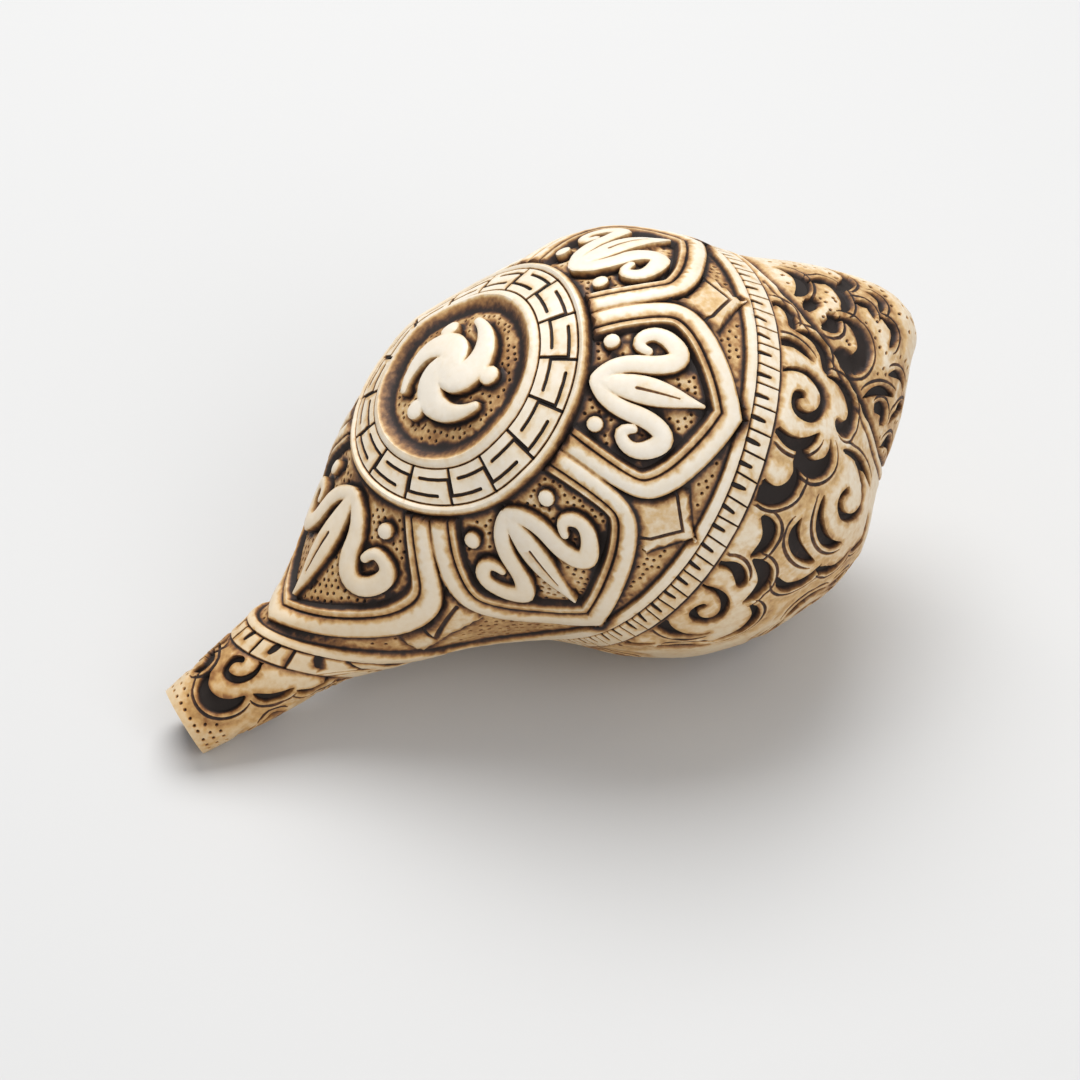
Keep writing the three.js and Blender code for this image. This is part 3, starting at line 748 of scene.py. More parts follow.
curls = [
    ([
        (118.0, 130.5), (122.0, 128.9), (124.4, 122.7), (124.5, 115.8), (121.9, 112.9), (119.2, 115.2),
        (118.3, 119.2), (119.4, 121.8), (120.8, 121.0),
    ], 1.0),
    ([
        (122.7, 95.6), (124.1, 83.2), (122.4, 75.4), (118.5, 77.6), (116.9, 82.4), (117.6, 87.0),
        (119.9, 86.6),
    ], 0.85),
    ([
        (87.4, 92.4), (90.5, 88.3), (91.3, 81.6), (88.9, 77.2), (86.2, 78.8), (85.9, 83.1), (87.6, 84.0),
    ], 0.9),
    ([
        (18.2, 149.5), (16.3, 138.0), (13.8, 137.5), (11.7, 146.7), (11.2, 162.0), (13.0, 167.0),
        (14.8, 159.5),
    ], 0.75),
]
# Clouds where the view doesn't reach: middle, size, heading of the opening and way round.
hiddenClouds = [
    (106, 50, 1.0, 100, 1), (68, 44, 0.85, 130, 1), (88, 30, 0.95, 60, 1), (118, 38, 0.75, 20, 1),
    (48, 60, 0.6, 160, 1), (115, 232, 0.95, -60, -1), (113, 268, 1.0, 0, -1), (114, 304, 0.95, 50, -1),
    (92, 262, 1.0, -90, -1), (88, 296, 0.9, -30, -1), (70, 276, 0.85, -110, -1), (52, 272, 0.65, -140, -1),
    (116, 340, 0.6, 120, -1), (100, 12, 0.8, 60, 1), (13, 236, 0.5, -170, -1), (14, 40, 0.5, 170, 1),
    (28, 250, 0.5, -150, -1), (29, 40, 0.5, 150, 1), (118, 196, 0.8, -40, -1),
]
# Widths of the commas, and of the thin dark line and the lower tan ground beyond their round side; the dark
# line is a painted shadow where the cloud steps down, the tan ground is darker than the cloud.
commaForm = {"cut": 1.32, "swell": 1.2}
commaRims = [
    {"kind": "line", "out": 1.05, "thin": 0.18, "wider": 0.24, "level": 0.75},
    {"kind": "ground", "out": 2.5, "thin": 0.4, "wider": 1.0, "level": 1.0},
]
# One of those clouds: a curl, and crescents round it.
cloudForm = {
    "curlPoints": 9, "curlInner": 1.1, "curlGrowth": 4.4, "curlStart": -30, "curlSweep": 420,
    "curlHalf": 0.95,
    "crescents": (-80, 0, 80), "crescentTurns": (-36, -18, 0, 18, 36), "crescentReach": 8.4,
    "crescentBow": 36,
    "crescentHalf": 1.25, "crescentFat": 0.45, "rimHalf": 1.1,
}


def commaTaper(fat):
    def taper(t):
        if 0.35 <= fat <= 0.65:
            return 0.25 + 0.8 * np.sin(np.pi * t) ** 0.7
        s = t if fat < 0.35 else 1 - t
        return 0.95 + 0.2 * np.sin(np.pi * s) - 0.75 * s**1.8
    return taper


def curlTaper(t):
    return 0.2 + 0.85 * np.sin(np.minimum(t * 1.6, 1) * math.pi / 2) * (1 - 0.25 * t**4)


def commaRim(spots, half):
    line, scale = sheetLine(spots, 0.6)
    middle, ends = line[len(line) // 2], (line[0] + line[-1]) / 2
    normals = lineNormals(line)
    side = 1 if (middle - ends) @ normals[len(line) // 2] > 0 else -1
    swell = np.sin(np.pi * np.linspace(0, 1, len(line))) ** 0.6
    edge = half * commaForm["swell"] * (0.35 + 0.65 * swell)
    for rim in commaRims:
        beside = line + normals * (side * (edge + rim["out"]))[:, None]
        half = rim["thin"] + rim["wider"] * swell
        addStroke(rim["kind"], beside / scale, half, rim["level"], True, tuple(scale))


def cloudSpot(cloud, radius, degrees):
    place, turn, size, heading, way = cloud
    scale = sheetScale(place, turn)
    a = math.radians(heading + way * degrees)
    v = float(np.interp(place, sheetPlaces, sheetV)) + radius * size * math.cos(a) / scale[1]
    u = radius * size * math.sin(a) / scale[0]
    return float(np.interp(v, sheetV, sheetPlaces)), turn + math.degrees(u)


def scrollStrokes():
    for spots, half, fat in commas:
        addSheetStroke("cut", spots, half * commaForm["cut"], commaTaper(fat))
        if len(spots) > 2:
            commaRim(spots, half)
    for spots, half in curls:
        addSheetStroke("cut", spots, half, curlTaper)
    form = cloudForm
    for cloud in hiddenClouds:
        size = cloud[2]
        curl = []
        for s in np.linspace(0, 1, form["curlPoints"]):
            radius = form["curlInner"] + form["curlGrowth"] * (1 - s)
            curl.append(cloudSpot(cloud, radius, form["curlStart"] - form["curlSweep"] * s))
        addSheetStroke("cut", curl, form["curlHalf"] * size, curlTaper)
        for middle in form["crescents"]:
            crescent = []
            for d in form["crescentTurns"]:
                radius = form["crescentReach"] - abs(d) / form["crescentBow"]
                crescent.append(cloudSpot(cloud, radius, middle + d))
            addSheetStroke("cut", crescent, form["crescentHalf"] * size, commaTaper(form["crescentFat"]))
            commaRim(crescent, form["rimHalf"] * size)


# Suture between the whorls: place on the shell for each turn, winding up to the apex, and its form by
# distance towards the apex.
suture = {
    "turn": (-330, -250, -150, -60, 0, 40, 72, 99, 125, 157, 176, 240, 315),
    "place": (147.6, 145.0, 141.0, 135.5, 131.5, 129.6, 129.2, 130.2, 130.4, 128.8, 127.5, 125, 122),
    "at": (-4, -1.5, -1.1, -0.5, -0.1, 0.35, 0.8, 1.4, 4),
    "height": (0, 0, -0.3, 0.12, 0.05, -0.95, -0.95, -0.15, 0),
    "stainAndShade": (0, 0.12, 0.75, 0.05, 0.1, 1, 0.9, 0.3, 0),
    "rings": (-1.5, -1.1, -0.6, -0.1, 0.35, 0.8, 1.4),
    "ringTurns": ((0.5, 315, 1.3), (-329, -0.5, 2.6)),
    "fade": (132, 138), "far": 99,
}


def suturePlace(turn):
    return np.interp(turn, suture["turn"], suture["place"])


def sutureOffset(place, turn):
    first, last, far = suture["turn"][0], suture["turn"][-1], suture["far"]
    a = np.mod(turn, 360)
    lower = np.where(a <= last, place - suturePlace(a), far)
    upper = np.where(a - 360 < first, far, place - suturePlace(a - 360))
    return np.where(np.abs(lower) < np.abs(upper), lower, upper)


# Open canal under the front, from the cut end into the mouth.
canal = {
    "turn": 338, "to": 46, "half": 1.9, "at": (0, 0.35, 1.6), "depth": (0, -3.4, -5.0),
    # the slot is darker the deeper it is: painted shade
    "slotShadeFrom": 0.4, "slotShadeTo": 3, "stainAndShade": (0.3, 0.8),
    "walls": (-0.45, 0, 0.35, 1.0), "first": 0.8, "step": 0.6,  # lines that the mesh follows
}
mouth = {"middle": 75, "half": 33, "turn": 334, "halfTurn": 20, "lip": 3, "points": 150}
# Rings of the throat: turn, place, distance from the axis, half its height and half its depth.
throat = [
    (300, 78, 22, 26, 10.5), (272, 81, 21.5, 23, 11), (240, 84, 20, 19, 10), (208, 87, 18, 13, 8),
    (184, 89, 18, 7, 5),
]


def canalHeight(place, turn):
    # the canal's own cut
    off = np.abs(np.mod(turn - canal["turn"] + 180, 360) - 180) * math.pi / 180 * radiusAt(place, turn)
    depth = np.interp(canal["half"] - off, canal["at"], canal["depth"])
    return np.where(place < canal["to"], depth, 0)


def mouthOutline():
    a = np.linspace(0, 2 * math.pi, mouth["points"], endpoint=False)
    place = mouth["middle"] + mouth["half"] * np.cos(a)
    width = mouth["halfTurn"] * (1 - 0.25 * np.cos(a) ** 2 + 0.2 * np.cos(a))
    return place, mouth["turn"] + width * np.sin(a)


def mouthAngle(place, turn):
    # share of the way round the mouth's outline, as an angle
    c = np.clip((place - mouth["middle"]) / mouth["half"], -1, 1)
    width = mouth["halfTurn"] * (1 - 0.25 * c**2 + 0.2 * c)
    return np.arctan2((turn - mouth["turn"]) / width, (place - mouth["middle"]) / mouth["half"])


def inMouth(place, turn, grow=0.0):
    c = (place - mouth["middle"]) / (mouth["half"] + grow)
    width = mouth["halfTurn"] * (1 - 0.25 * np.clip(c, -1, 1) ** 2 + 0.2 * c) + grow * 1.6
    return c**2 + ((turn - mouth["turn"]) / np.maximum(width, 1)) ** 2 < 1


# Punched dots: spacing, size and depth, and the room that they keep from the carving.
dots = {
    "pitch": 1.46, "rowShare": 0.87, "reach": 62, "shake": 0.16, "half": 0.42, "depth": 0.5, "sides": 6,
    "petalInside": 5.7, "petalFrom": 27.2, "petalRoom": 0.75, "discTo": 13.0, "discRoom": 0.8,
    "fieldFrom": 30, "fieldRoom": 0.9, "dartRoom": 0.7, "borderRoom": 1.9,
}
spireRows = {
    "from": 131, "to": 148.6, "step": 1.75, "pitch": 1.9, "shake": 1.6, "placeShake": 0.25, "twist": 7,
    "room": 0.55, "sutureRoom": 1.6, "seamRoom": 4,
}
canalRows = {"from": 1.5, "to": 6.4, "step": 1.7, "count": 26, "shake": 1.5, "twist": 11}


def dialDots():
    pitch, reach = dots["pitch"], dots["reach"]
    rows, columns = int(reach / (pitch * dots["rowShare"])), int(reach / pitch)
    x, y = [], []
    for i in range(-rows, rows + 1):
        for j in range(-columns, columns + 1):
            x.append((j + 0.5 * (i % 2)) * pitch)
            y.append(i * pitch * dots["rowShare"])
    x = np.array(x) + dice.normal(0, dots["shake"], len(x))
    y = np.array(y) + dice.normal(0, dots["shake"], len(y))
    rho = np.hypot(x, y)
    keep = rho < reach
    x, y, rho = x[keep], y[keep], rho[keep]
    petal, dart, rim = petalInside(x, y), dartInside(x, y), borderOffset(x, y)
    motif = nearestStroke(("raised",), False, x, y, x, y, 1.5)
    keep = (petal > dots["petalInside"]) & (rho > dots["petalFrom"]) & (motif < -dots["petalRoom"])
    keep |= (rho < dots["discTo"]) & (motif < -dots["discRoom"])
    field = (petal < -dots["fieldRoom"]) & (dart < -dots["dartRoom"]) & (rim < -dots["borderRoom"])
    keep |= field & (rho > dots["fieldFrom"])
    return dialToShell(x[keep], y[keep])


def spireDots():
    places, turns = [], []
    form = spireRows
    for place in np.arange(form["from"], form["to"], form["step"]):
        count = max(int(2 * math.pi * meanRadius(np.array([place]))[0] / form["pitch"]), 4)
        shake = dice.normal(0, form["shake"], count)
        turns.append(np.arange(count) * 360 / count + shake + place * form["twist"])
        places.append(np.full(count, place) + dice.normal(0, form["placeShake"], count))
    form = canalRows
    for place in np.arange(form["from"], form["to"], form["step"]):
        count = form["count"]
        shake = dice.normal(0, form["shake"], count)
        turns.append(np.arange(count) * 360 / count + shake + place * form["twist"])
        places.append(np.full(count, place))
    place, turn = np.concatenate(places), np.mod(np.concatenate(turns), 360)
    scale = radiusAt(place, turn), meanRadius(place)
    near = nearestStroke(("cut", "line"), True, *toSheet(place, turn), *scale, 1.5)
    seam = spireRows["seamRoom"]
    keep = (near < -spireRows["room"]) & (turn > seam) & (turn < 360 - seam)
    keep &= np.abs(sutureOffset(place, turn)) > spireRows["sutureRoom"]
    return place[keep], turn[keep]


def nearTree(points):
    tree = kdtree.KDTree(len(points))
    for i, p in enumerate(points):
        tree.insert(p, i)
    tree.balance()
    return tree


# What surrounds the carving: plain stain, a tan halo of painted shade round the cuts, the sunk ground round
# raised ornament with painted shade at its foot, and the unevenness of hand work.
surround = {
    "stainAndShade": 0.12, "halo": (-2.2, -0.35, 0), "haloShade": (0, 0.13, 0.4), "haloRoom": 2.2,
    "ornamentFoot": -1.1, "ornamentTop": 0.12, "ornamentRoom": 2.4,
    "pocketPetal": 4.9, "pocketFrom": 26, "pocketDisc": 13.9,
    "pocket": (-1.3, -0.4, 0), "pocketDepth": (0, 0.4, 0.55),
    "pocketEdge": (-1.25, -0.6, -0.25), "pocketShade": (0, 0.6, 1), "unevenness": 0.03,
}


def whorlRelief(place, turn, u, v, flower):
    # suture and scrolls, everywhere but in the flower
    su, sv = radiusAt(place, turn), meanRadius(place)
    fade = 1 - smoothstep(place, *suture["fade"])
    low, mark = profile(suture, sutureOffset(place, turn))
    height, stainAndShade = low * fade, np.maximum(surround["stainAndShade"], mark * fade)
    halo = np.full(len(place), farOff)
    for stroke in strokes:
        if not stroke["onSheet"]:
            continue
        found, inside = nearStroke(stroke, u, v, su, sv, surround["haloRoom"])
        found, inside = found[~flower[found]], inside[~flower[found]]
        if stroke["kind"] == "cut":
            halo[found] = np.maximum(halo[found], inside)
        part = found[inside > 0]
        low, mark = profile(strokeKinds[stroke["kind"]], inside[inside > 0])
        height[part] = np.minimum(height[part], low * stroke["level"])
        stainAndShade[part] = np.maximum(stainAndShade[part], mark * min(stroke["level"], 1))
    # a tan halo of painted shade round the cuts
    tan = np.interp(halo, surround["halo"], surround["haloShade"])
    return height, np.where(halo <= 0, np.maximum(stainAndShade, tan), stainAndShade)


def flowerRelief(x, y, su, sv):
    # field, border, darts, petals, then the medallion on top, and the ornament
    rho, rim = np.hypot(x, y), borderOffset(x, y)
    phi = np.degrees(np.arctan2(y, x))
    ring = rho - ringSwell(phi, rho - ringSwell(phi, rho))
    dart, petal = dartInside(x, y), petalInside(x, y)
    height, stainAndShade = profile(border, rim)
    onDart = (dart > 0) & (rim < darts["until"])
    height = np.where(onDart, np.interp(dart, darts["at"], darts["height"]), height)
    stainAndShade = np.where(onDart, np.interp(dart, darts["stainAndShadeAt"], darts["stainAndShade"]), stainAndShade)
    # painted shade on the ground at the foot of darts and petals
    for distance, form in ((dart, darts), (petal, petalProfile)):
        ground = np.interp(distance, form["ground"], form["groundShade"])
        stainAndShade = np.where(distance <= 0, np.maximum(stainAndShade, ground), stainAndShade)
    low, mark = profile(petalProfile, petal)
    height, stainAndShade = np.where(petal > 0, low, height), np.where(petal > 0, mark, stainAndShade)
    # painted shade on the ground at the medallion's foot
    stainAndShade = np.maximum(stainAndShade, np.interp(ring, medallion["foot"], medallion["footShade"]))
    low, mark = profile(medallion, ring)
    inMedallion = ring < medallion["edge"]
    height, stainAndShade = np.where(inMedallion, low, height), np.where(inMedallion, mark, stainAndShade)

    # raised ornament first, all of it as one form, and then the lines
    room = surround["ornamentRoom"]
    motif = nearestStroke(("raised",), False, x, y, su, sv, room)
    part = np.flatnonzero(motif > 0)
    rise, mark = profile(strokeKinds["raised"], motif[part])
    foot = np.minimum(height[part], surround["ornamentFoot"])
    height[part] = np.maximum(height[part], foot + (surround["ornamentTop"] - foot) * rise)
    stainAndShade[part] = mark
    for stroke in strokes:
        if stroke["onSheet"] or stroke["kind"] == "raised":
            continue
        found, inside = nearStroke(stroke, x, y, su, sv, room)
        hit = inside > 0
        if stroke["onDart"]:
            hit &= petal[found] <= 0
        part = found[hit]
        low, mark = profile(strokeKinds[stroke["kind"]], inside[hit])
        height[part] += low * stroke["level"]
        stainAndShade[part] = np.maximum(stainAndShade[part], mark * min(stroke["level"], 1))
    pocket = (petal > surround["pocketPetal"]) & (ring > surround["pocketFrom"])
    pocket = (motif <= 0) & (pocket | (ring < surround["pocketDisc"]))
    height = np.where(pocket, height - np.interp(motif, surround["pocket"], surround["pocketDepth"]), height)
    # painted shade in the sunk ground at the ornament's foot
    dark = np.interp(motif, surround["pocketEdge"], surround["pocketShade"])
    return height, np.where(pocket, np.maximum(stainAndShade, dark), stainAndShade)


def heightStainAndShade(place, turn, u, v):
    # carved height over the plain surface and depth of stain and painted shade, at every point of the mesh
    x, y = shellToDial(place, turn)
    flower = borderOffset(x, y) < border["end"]
    height, stainAndShade = whorlRelief(place, turn, u, v, flower)
    low, mark = flowerRelief(x, y, radiusAt(place, turn), meanRadius(place))
    height, stainAndShade = np.where(flower, low, height), np.where(flower, mark, stainAndShade)

    # punched dots, dark in their pits: stain with painted shade
    tree = nearTree(surfacePoint(dotPlaces, dotTurns))
    away = np.array([tree.find(p)[2] for p in surfacePoint(place, turn)])
    pit = np.clip(1 - away / dots["half"], 0, 1)
    height = height - dots["depth"] * pit
    stainAndShade = np.maximum(stainAndShade, np.where(pit > 0.02, 0.15 + 1.2 * pit, 0))
    wave = np.sin(place * 1.9 + np.radians(turn) * 7) * np.sin(place * 0.7 - np.radians(turn) * 11)
    return height + surround["unevenness"] * wave, np.clip(stainAndShade, 0, 1)


def collectLines():
    # every line that the mesh follows, as places and turns, whether it closes, and what of it is kept
    lines = []

    def add(place, turn, closed=False, keep=None):
        lines.append((place, turn, closed, keep))

    def dialRing(radiusOf, step):
        count = int(2 * math.pi * float(np.max(radiusOf(np.zeros(1)))) / step)
        phi = np.arange(count) * 360 / count
        rho = radiusOf(phi)
        add(*dialToShell(rho * np.cos(np.radians(phi)), rho * np.sin(np.radians(phi))), True)

    for radius in medallion["at"][medallion["firstRing"]:]:
        step = medallion["ringSteps"][radius > medallion["stepChange"]]
        dialRing(lambda phi, r=radius: r + ringSwell(phi, r), step)
    for out in border["at"][2:-1]:
        dialRing(lambda phi, o=out: borderRadius(phi) + o, border["ringStep"])
    for petal in petals:
        for inside in (0, *petalProfile["rings"]):
            path = petal["path"]
            x, y = (path + lineNormals(path) * inside * petalSide).T
            keep = np.hypot(x, y) - ringSwell(np.degrees(np.arctan2(y, x)), 26) > medallion["edge"] + 0.3
            keep &= petalInside(x, y) > inside - 0.12
            add(*dialToShell(x, y), False, keep)
    for outer, _ in dartPaths():
        path = evenLine(outer, 0.7, True)
        for inside in darts["rings"]:
            x, y = (path - lineNormals(path) * inside).T
            add(*dialToShell(x, y), False, petalInside(x, y) < -0.15)
    # both rims of the canal's slot, and its walls
    place = np.arange(canal["first"], canal["to"], canal["step"])
    for inside in canal["walls"]:
        for side in (-1, 1):
            across = side * (canal["half"] - inside)
            radius = radiusAt(place, np.full(len(place), float(canal["turn"])))
            add(place, canal["turn"] + np.degrees(across / radius))
    for stroke in strokes:
        kind = strokeKinds[stroke["kind"]]
        rings = [(strokeRing(stroke, inside), True) for inside in kind["rings"]]
        if kind["middle"]:
            rings.append((stroke["line"], False))
        for ring, closed in rings:
            if ring is None:
                continue
            keep = None
            if stroke["onSheet"]:
                place, turn = fromSheet(ring[:, 0], ring[:, 1])
                keep = borderOffset(*shellToDial(place, turn)) > border["end"] + 0.1
            else:
                place, turn = dialToShell(ring[:, 0], ring[:, 1])
                if stroke["onDart"]:
                    keep = petalInside(ring[:, 0], ring[:, 1]) < -0.1
            add(place, turn, closed, keep)
    for out in suture["rings"]:
        for low, high, step in suture["ringTurns"]:
            turn = np.arange(low, high, step)
            add(suturePlace(turn) + out, turn)
    return lines


# The mesh between the carved lines.
weave = {
    "pitch": 1.15, "rowShare": 0.87, "clear": 0.5, "leastCount": 10, "seamTurn": 1.2,
    "endRoom": 0.4, "seamRoom": 0.02, "mouthRoom": 0.5, "joint": 1e-5,
    "seamPoints": 170, "canalPoints": 60, "apexPoints": 24,
}


def sheetMesh():
    # triangles on the unrolled sheet, following every carved line
    us, vs, edges = [], [], []
    lastRow = shellForm["lastRow"]

    def push(u, v, closed=False, linked=True, good=None):
        good = np.ones(len(u), bool) if good is None else good
        number = np.cumsum(good) - 1 + len(us)
        for i in range(len(u) if closed else len(u) - 1):
            j = (i + 1) % len(u)
            if linked and good[i] and good[j] and abs(u[i] - u[j]) < 1:
                edges.append((int(number[i]), int(number[j])))
        us.extend(u[good])
        vs.extend(v[good])

    def pushLine(place, turn, closed=False, keep=None, linked=True):
        # what lies clear of both ends, of the seam and of the mouth
        good = (place > weave["endRoom"]) & (place < lastRow - weave["endRoom"])
        if keep is not None:
            good &= keep
        u, v = toSheet(place, turn)
        good &= (u > weave["seamRoom"]) & (u < 2 * math.pi - weave["seamRoom"])
        good &= ~inMouth(place, np.degrees(u), weave["mouthRoom"])
        push(u, v, closed, linked, good)

    for line in collectLines():
        pushLine(*line)
    # dots: a middle and a ring each
    pushLine(dotPlaces, dotTurns, linked=False)
    for k in range(dots["sides"]):
        a = 2 * math.pi * k / dots["sides"]
        ringTurns = dotTurns + np.degrees(dots["half"] * math.sin(a) / radiusAt(dotPlaces, dotTurns))
        pushLine(dotPlaces + dots["half"] * math.cos(a), ringTurns, linked=False)

    # fill between the lines
    tree = nearTree(surfacePoint(*fromSheet(np.array(us), np.array(vs))))
    pitch = weave["pitch"]
    row, place = 0, 0.0
    while True:
        slope = float(np.gradient(meanRadius(np.array([place, place + 0.1])), 0.1)[0])
        place += pitch * weave["rowShare"] / float(np.hypot(1, slope))
        if place > lastRow - 0.5:
            break
        row += 1
        count = max(int(2 * math.pi * meanRadius(np.array([place]))[0] / pitch), weave["leastCount"])
        turn = (np.arange(count) + 0.5 * (row % 2) + 0.25) * 360 / count
        turn = turn[(turn > weave["seamTurn"]) & (turn < 360 - weave["seamTurn"])]
        spots = surfacePoint(np.full(len(turn), place), turn)
        clear = np.array([tree.find(p)[2] > weave["clear"] for p in spots])
        pushLine(np.full(int(clear.sum()), place), turn[clear], linked=False)

    # the mouth's outline, the seam under the shell, and both end rows
    push(*toSheet(*mouthOutline()), closed=True)
    seam = np.linspace(0, sheetV[-1], weave["seamPoints"])
    for side in (0.0, 2 * math.pi):
        push(np.full(len(seam), side), seam)
    for v, count in ((0.0, weave["canalPoints"]), (float(sheetV[-1]), weave["apexPoints"])):
        row = np.arange(1, count) * 2 * math.pi / count
        push(row, np.full(len(row), v))
    points = [Vector((a, b)) for a, b in zip(us, vs)]
    found = delaunay_2d_cdt(points, edges, [], 0, weave["joint"], False)
    return np.array([tuple(p) for p in found[0]]), np.array(found[2])


def openEdges(faces):
    seen = dict.fromkeys(e for a, b, c in faces for e in ((a, b), (b, c), (c, a)))
    return [(a, b) for a, b in seen if (b, a) not in seen]


def boundary(edges, test):
    # the loop of open edges whose points pass the test, in order
    nextOf = {b: a for a, b in edges if test(a) and test(b)}
    first = next(iter(nextOf))
    loop = [first]
    while nextOf[loop[-1]] != first and len(loop) < len(nextOf) + 1:
        loop.append(nextOf[loop[-1]])
    return loop


def insideLoop(spot, loop):
    inside = False
    for a, b in zip(loop, loop[1:] + loop[:1]):
        if (a.y > spot.y) != (b.y > spot.y):
            if spot.x < a.x + (spot.y - a.y) * (b.x - a.x) / (b.y - a.y):
                inside = not inside
    return inside


def joinSeam(uv, faces):
    # both borders of the sheet take the same points
    u, v = uv[:, 0], uv[:, 1]
    left, right = np.flatnonzero(u < 1e-6), np.flatnonzero(u > 2 * math.pi - 1e-6)
    target = np.arange(len(uv))
    target[right[np.argsort(v[right])]] = left[np.argsort(v[left])]
    faces = target[faces]
    a, b, c = faces.T
    return [tuple(int(i) for i in f) for f in faces[(a != b) & (b != c) & (a != c)]]


def throatRings(angle, deep):
    # points and stain-and-shade of the rings from the mouth's edge in and round behind the lip, darker
    # further in: painted shade
    for grow, depth in ((-0.4, 0.5), (-1, mouth["lip"])):
        c = np.cos(angle)
        along = mouth["middle"] + (mouth["half"] + grow) * c
        width = mouth["halfTurn"] * (1 - 0.25 * c**2 + 0.2 * c) + grow * 0.4
        at = mouth["turn"] + width * np.sin(angle)
        drop = np.minimum(-depth, deep - 0.3)
        yield surfacePoint(along, at) + outward(at) * drop[:, None], 0.2
    previous = None
    for turnAt, along, distance, halfHeight, halfDepth in throat:
        radius = distance - halfDepth * np.sin(angle)
        centre = axisPoint(along + halfHeight * np.cos(angle))
        ring = centre + outward(np.full(len(angle), turnAt)) * radius[:, None]
        if previous is not None:
            between = (ring + previous) / 2
            yield between + unit(between - (ring + previous).mean(axis=0) / 2) * 0.5, 0.3
        yield ring, 0.35
        previous = ring


def buildShell():
    uv, faces = sheetMesh()
    u, v = uv[:, 0], uv[:, 1]
    place, turn = fromSheet(u, v)
    print("sheet:", len(uv), "points", len(faces), "triangles")
    height, stainAndShade = heightStainAndShade(place, turn, np.mod(u, 2 * math.pi), v)
    slot = canalHeight(place, turn)
    # painted shade in the canal's slot, by its depth
    slotShade = np.interp(-slot, (canal["slotShadeFrom"], canal["slotShadeTo"]), canal["stainAndShade"])
    stainAndShade = np.where(slot < -canal["slotShadeFrom"], np.maximum(stainAndShade, slotShade), stainAndShade)
    height = np.where(slot < 0, np.minimum(height, slot), height)
    points = surfacePoint(place, turn) + surfaceNormal(place, turn) * height[:, None]
    points, stainAndShade = [tuple(p) for p in points], list(stainAndShade)

    middle = uv[faces].mean(axis=1)
    faces = faces[~inMouth(*fromSheet(middle[:, 0], middle[:, 1]))][:, ::-1]
    faces = joinSeam(uv, faces)
    vEnd, edges = sheetV[-1], openEdges(faces)
    mouthLoop = boundary(edges, lambda i: 1e-3 < v[i] < vEnd - 1e-3)
    frontLoop = boundary(edges, lambda i: v[i] < 1e-6)
    apexLoop = boundary(edges, lambda i: v[i] > vEnd - 1e-6)
    print("mouth loop", len(mouthLoop), "canal end", len(frontLoop), "apex", len(apexLoop))

    def addPoint(point, mark):
        points.append(tuple(point))
        stainAndShade.append(mark)
        return len(points) - 1

    def addFan(loop, centre):
        for i, a in enumerate(loop):
            faces.append((a, loop[(i + 1) % len(loop)], centre))

    # the throat gets darker further in: painted shade
    last = mouthLoop
    angle = mouthAngle(place[mouthLoop], np.mod(turn[mouthLoop], 360))
    for ring, mark in throatRings(angle, np.minimum(height[mouthLoop], 0)):
        new = [addPoint(p, mark) for p in ring]
        for i in range(len(new)):
            j = (i + 1) % len(new)
            faces.extend(((last[i], last[j], new[j]), (last[i], new[j], new[i])))
        last = new
    addFan(last, addPoint(np.mean([points[i] for i in last], axis=0), 0.5))
    apex = surfacePoint(np.array([shellForm["length"]]), np.array([0.0]))[0]
    addFan(apexLoop, addPoint(apex, 0.2))

    # the sawn end, where the canal's slot stays open
    flat = [Vector((np.dot(points[i], beyond), np.dot(points[i], dorsal))) for i in frontLoop]
    found = delaunay_2d_cdt(flat, [], [list(range(len(flat)))], 1, 1e-7, True)
    originals = [ids[0] if ids else None for ids in found[3]]
    for f in found[2]:
        corners = [originals[k] for k in f]
        if None not in corners and insideLoop(sum((flat[k] for k in corners), Vector((0, 0))) / 3, flat):
            faces.append(tuple(frontLoop[k] for k in corners))
    return np.array(points), faces, np.array(stainAndShade)


def shellObject():
    points, faces, stainAndShade = buildShell()
    points[:, 2] = np.maximum(points[:, 2], 0)  # worn flat where it rests
    mesh = bpy.data.meshes.new("carvedShell")
    mesh.from_pydata((points * mm).tolist(), [], faces)
    # per point: stain with painted shade in the hollows, which the material turns into colour
    tint = mesh.attributes.new("stainAndShade", "FLOAT", "POINT")
    tint.data.foreach_set("value", stainAndShade.astype(np.float32))
    mesh.update()
    work = bmesh.new()
    work.from_mesh(mesh)
    bmesh.ops.delete(work, geom=[p for p in work.verts if not p.link_faces], context="VERTS")
    bmesh.ops.dissolve_degenerate(work, dist=2e-6, edges=work.edges)
    bmesh.ops.recalc_face_normals(work, faces=work.faces)
    print("open edges:", sum(1 for e in work.edges if len(e.link_faces) != 2))
    work.to_mesh(mesh)
    work.free()
    mesh.shade_smooth()
    mesh.set_sharp_from_angle(angle=math.radians(shellLook["sharpAngle"]))
    shell = bpy.data.objects.new("carvedShell", mesh)
    bpy.context.scene.collection.objects.link(shell)
    print("shell:", len(mesh.vertices), "points", len(mesh.polygons), "faces")
    return shell


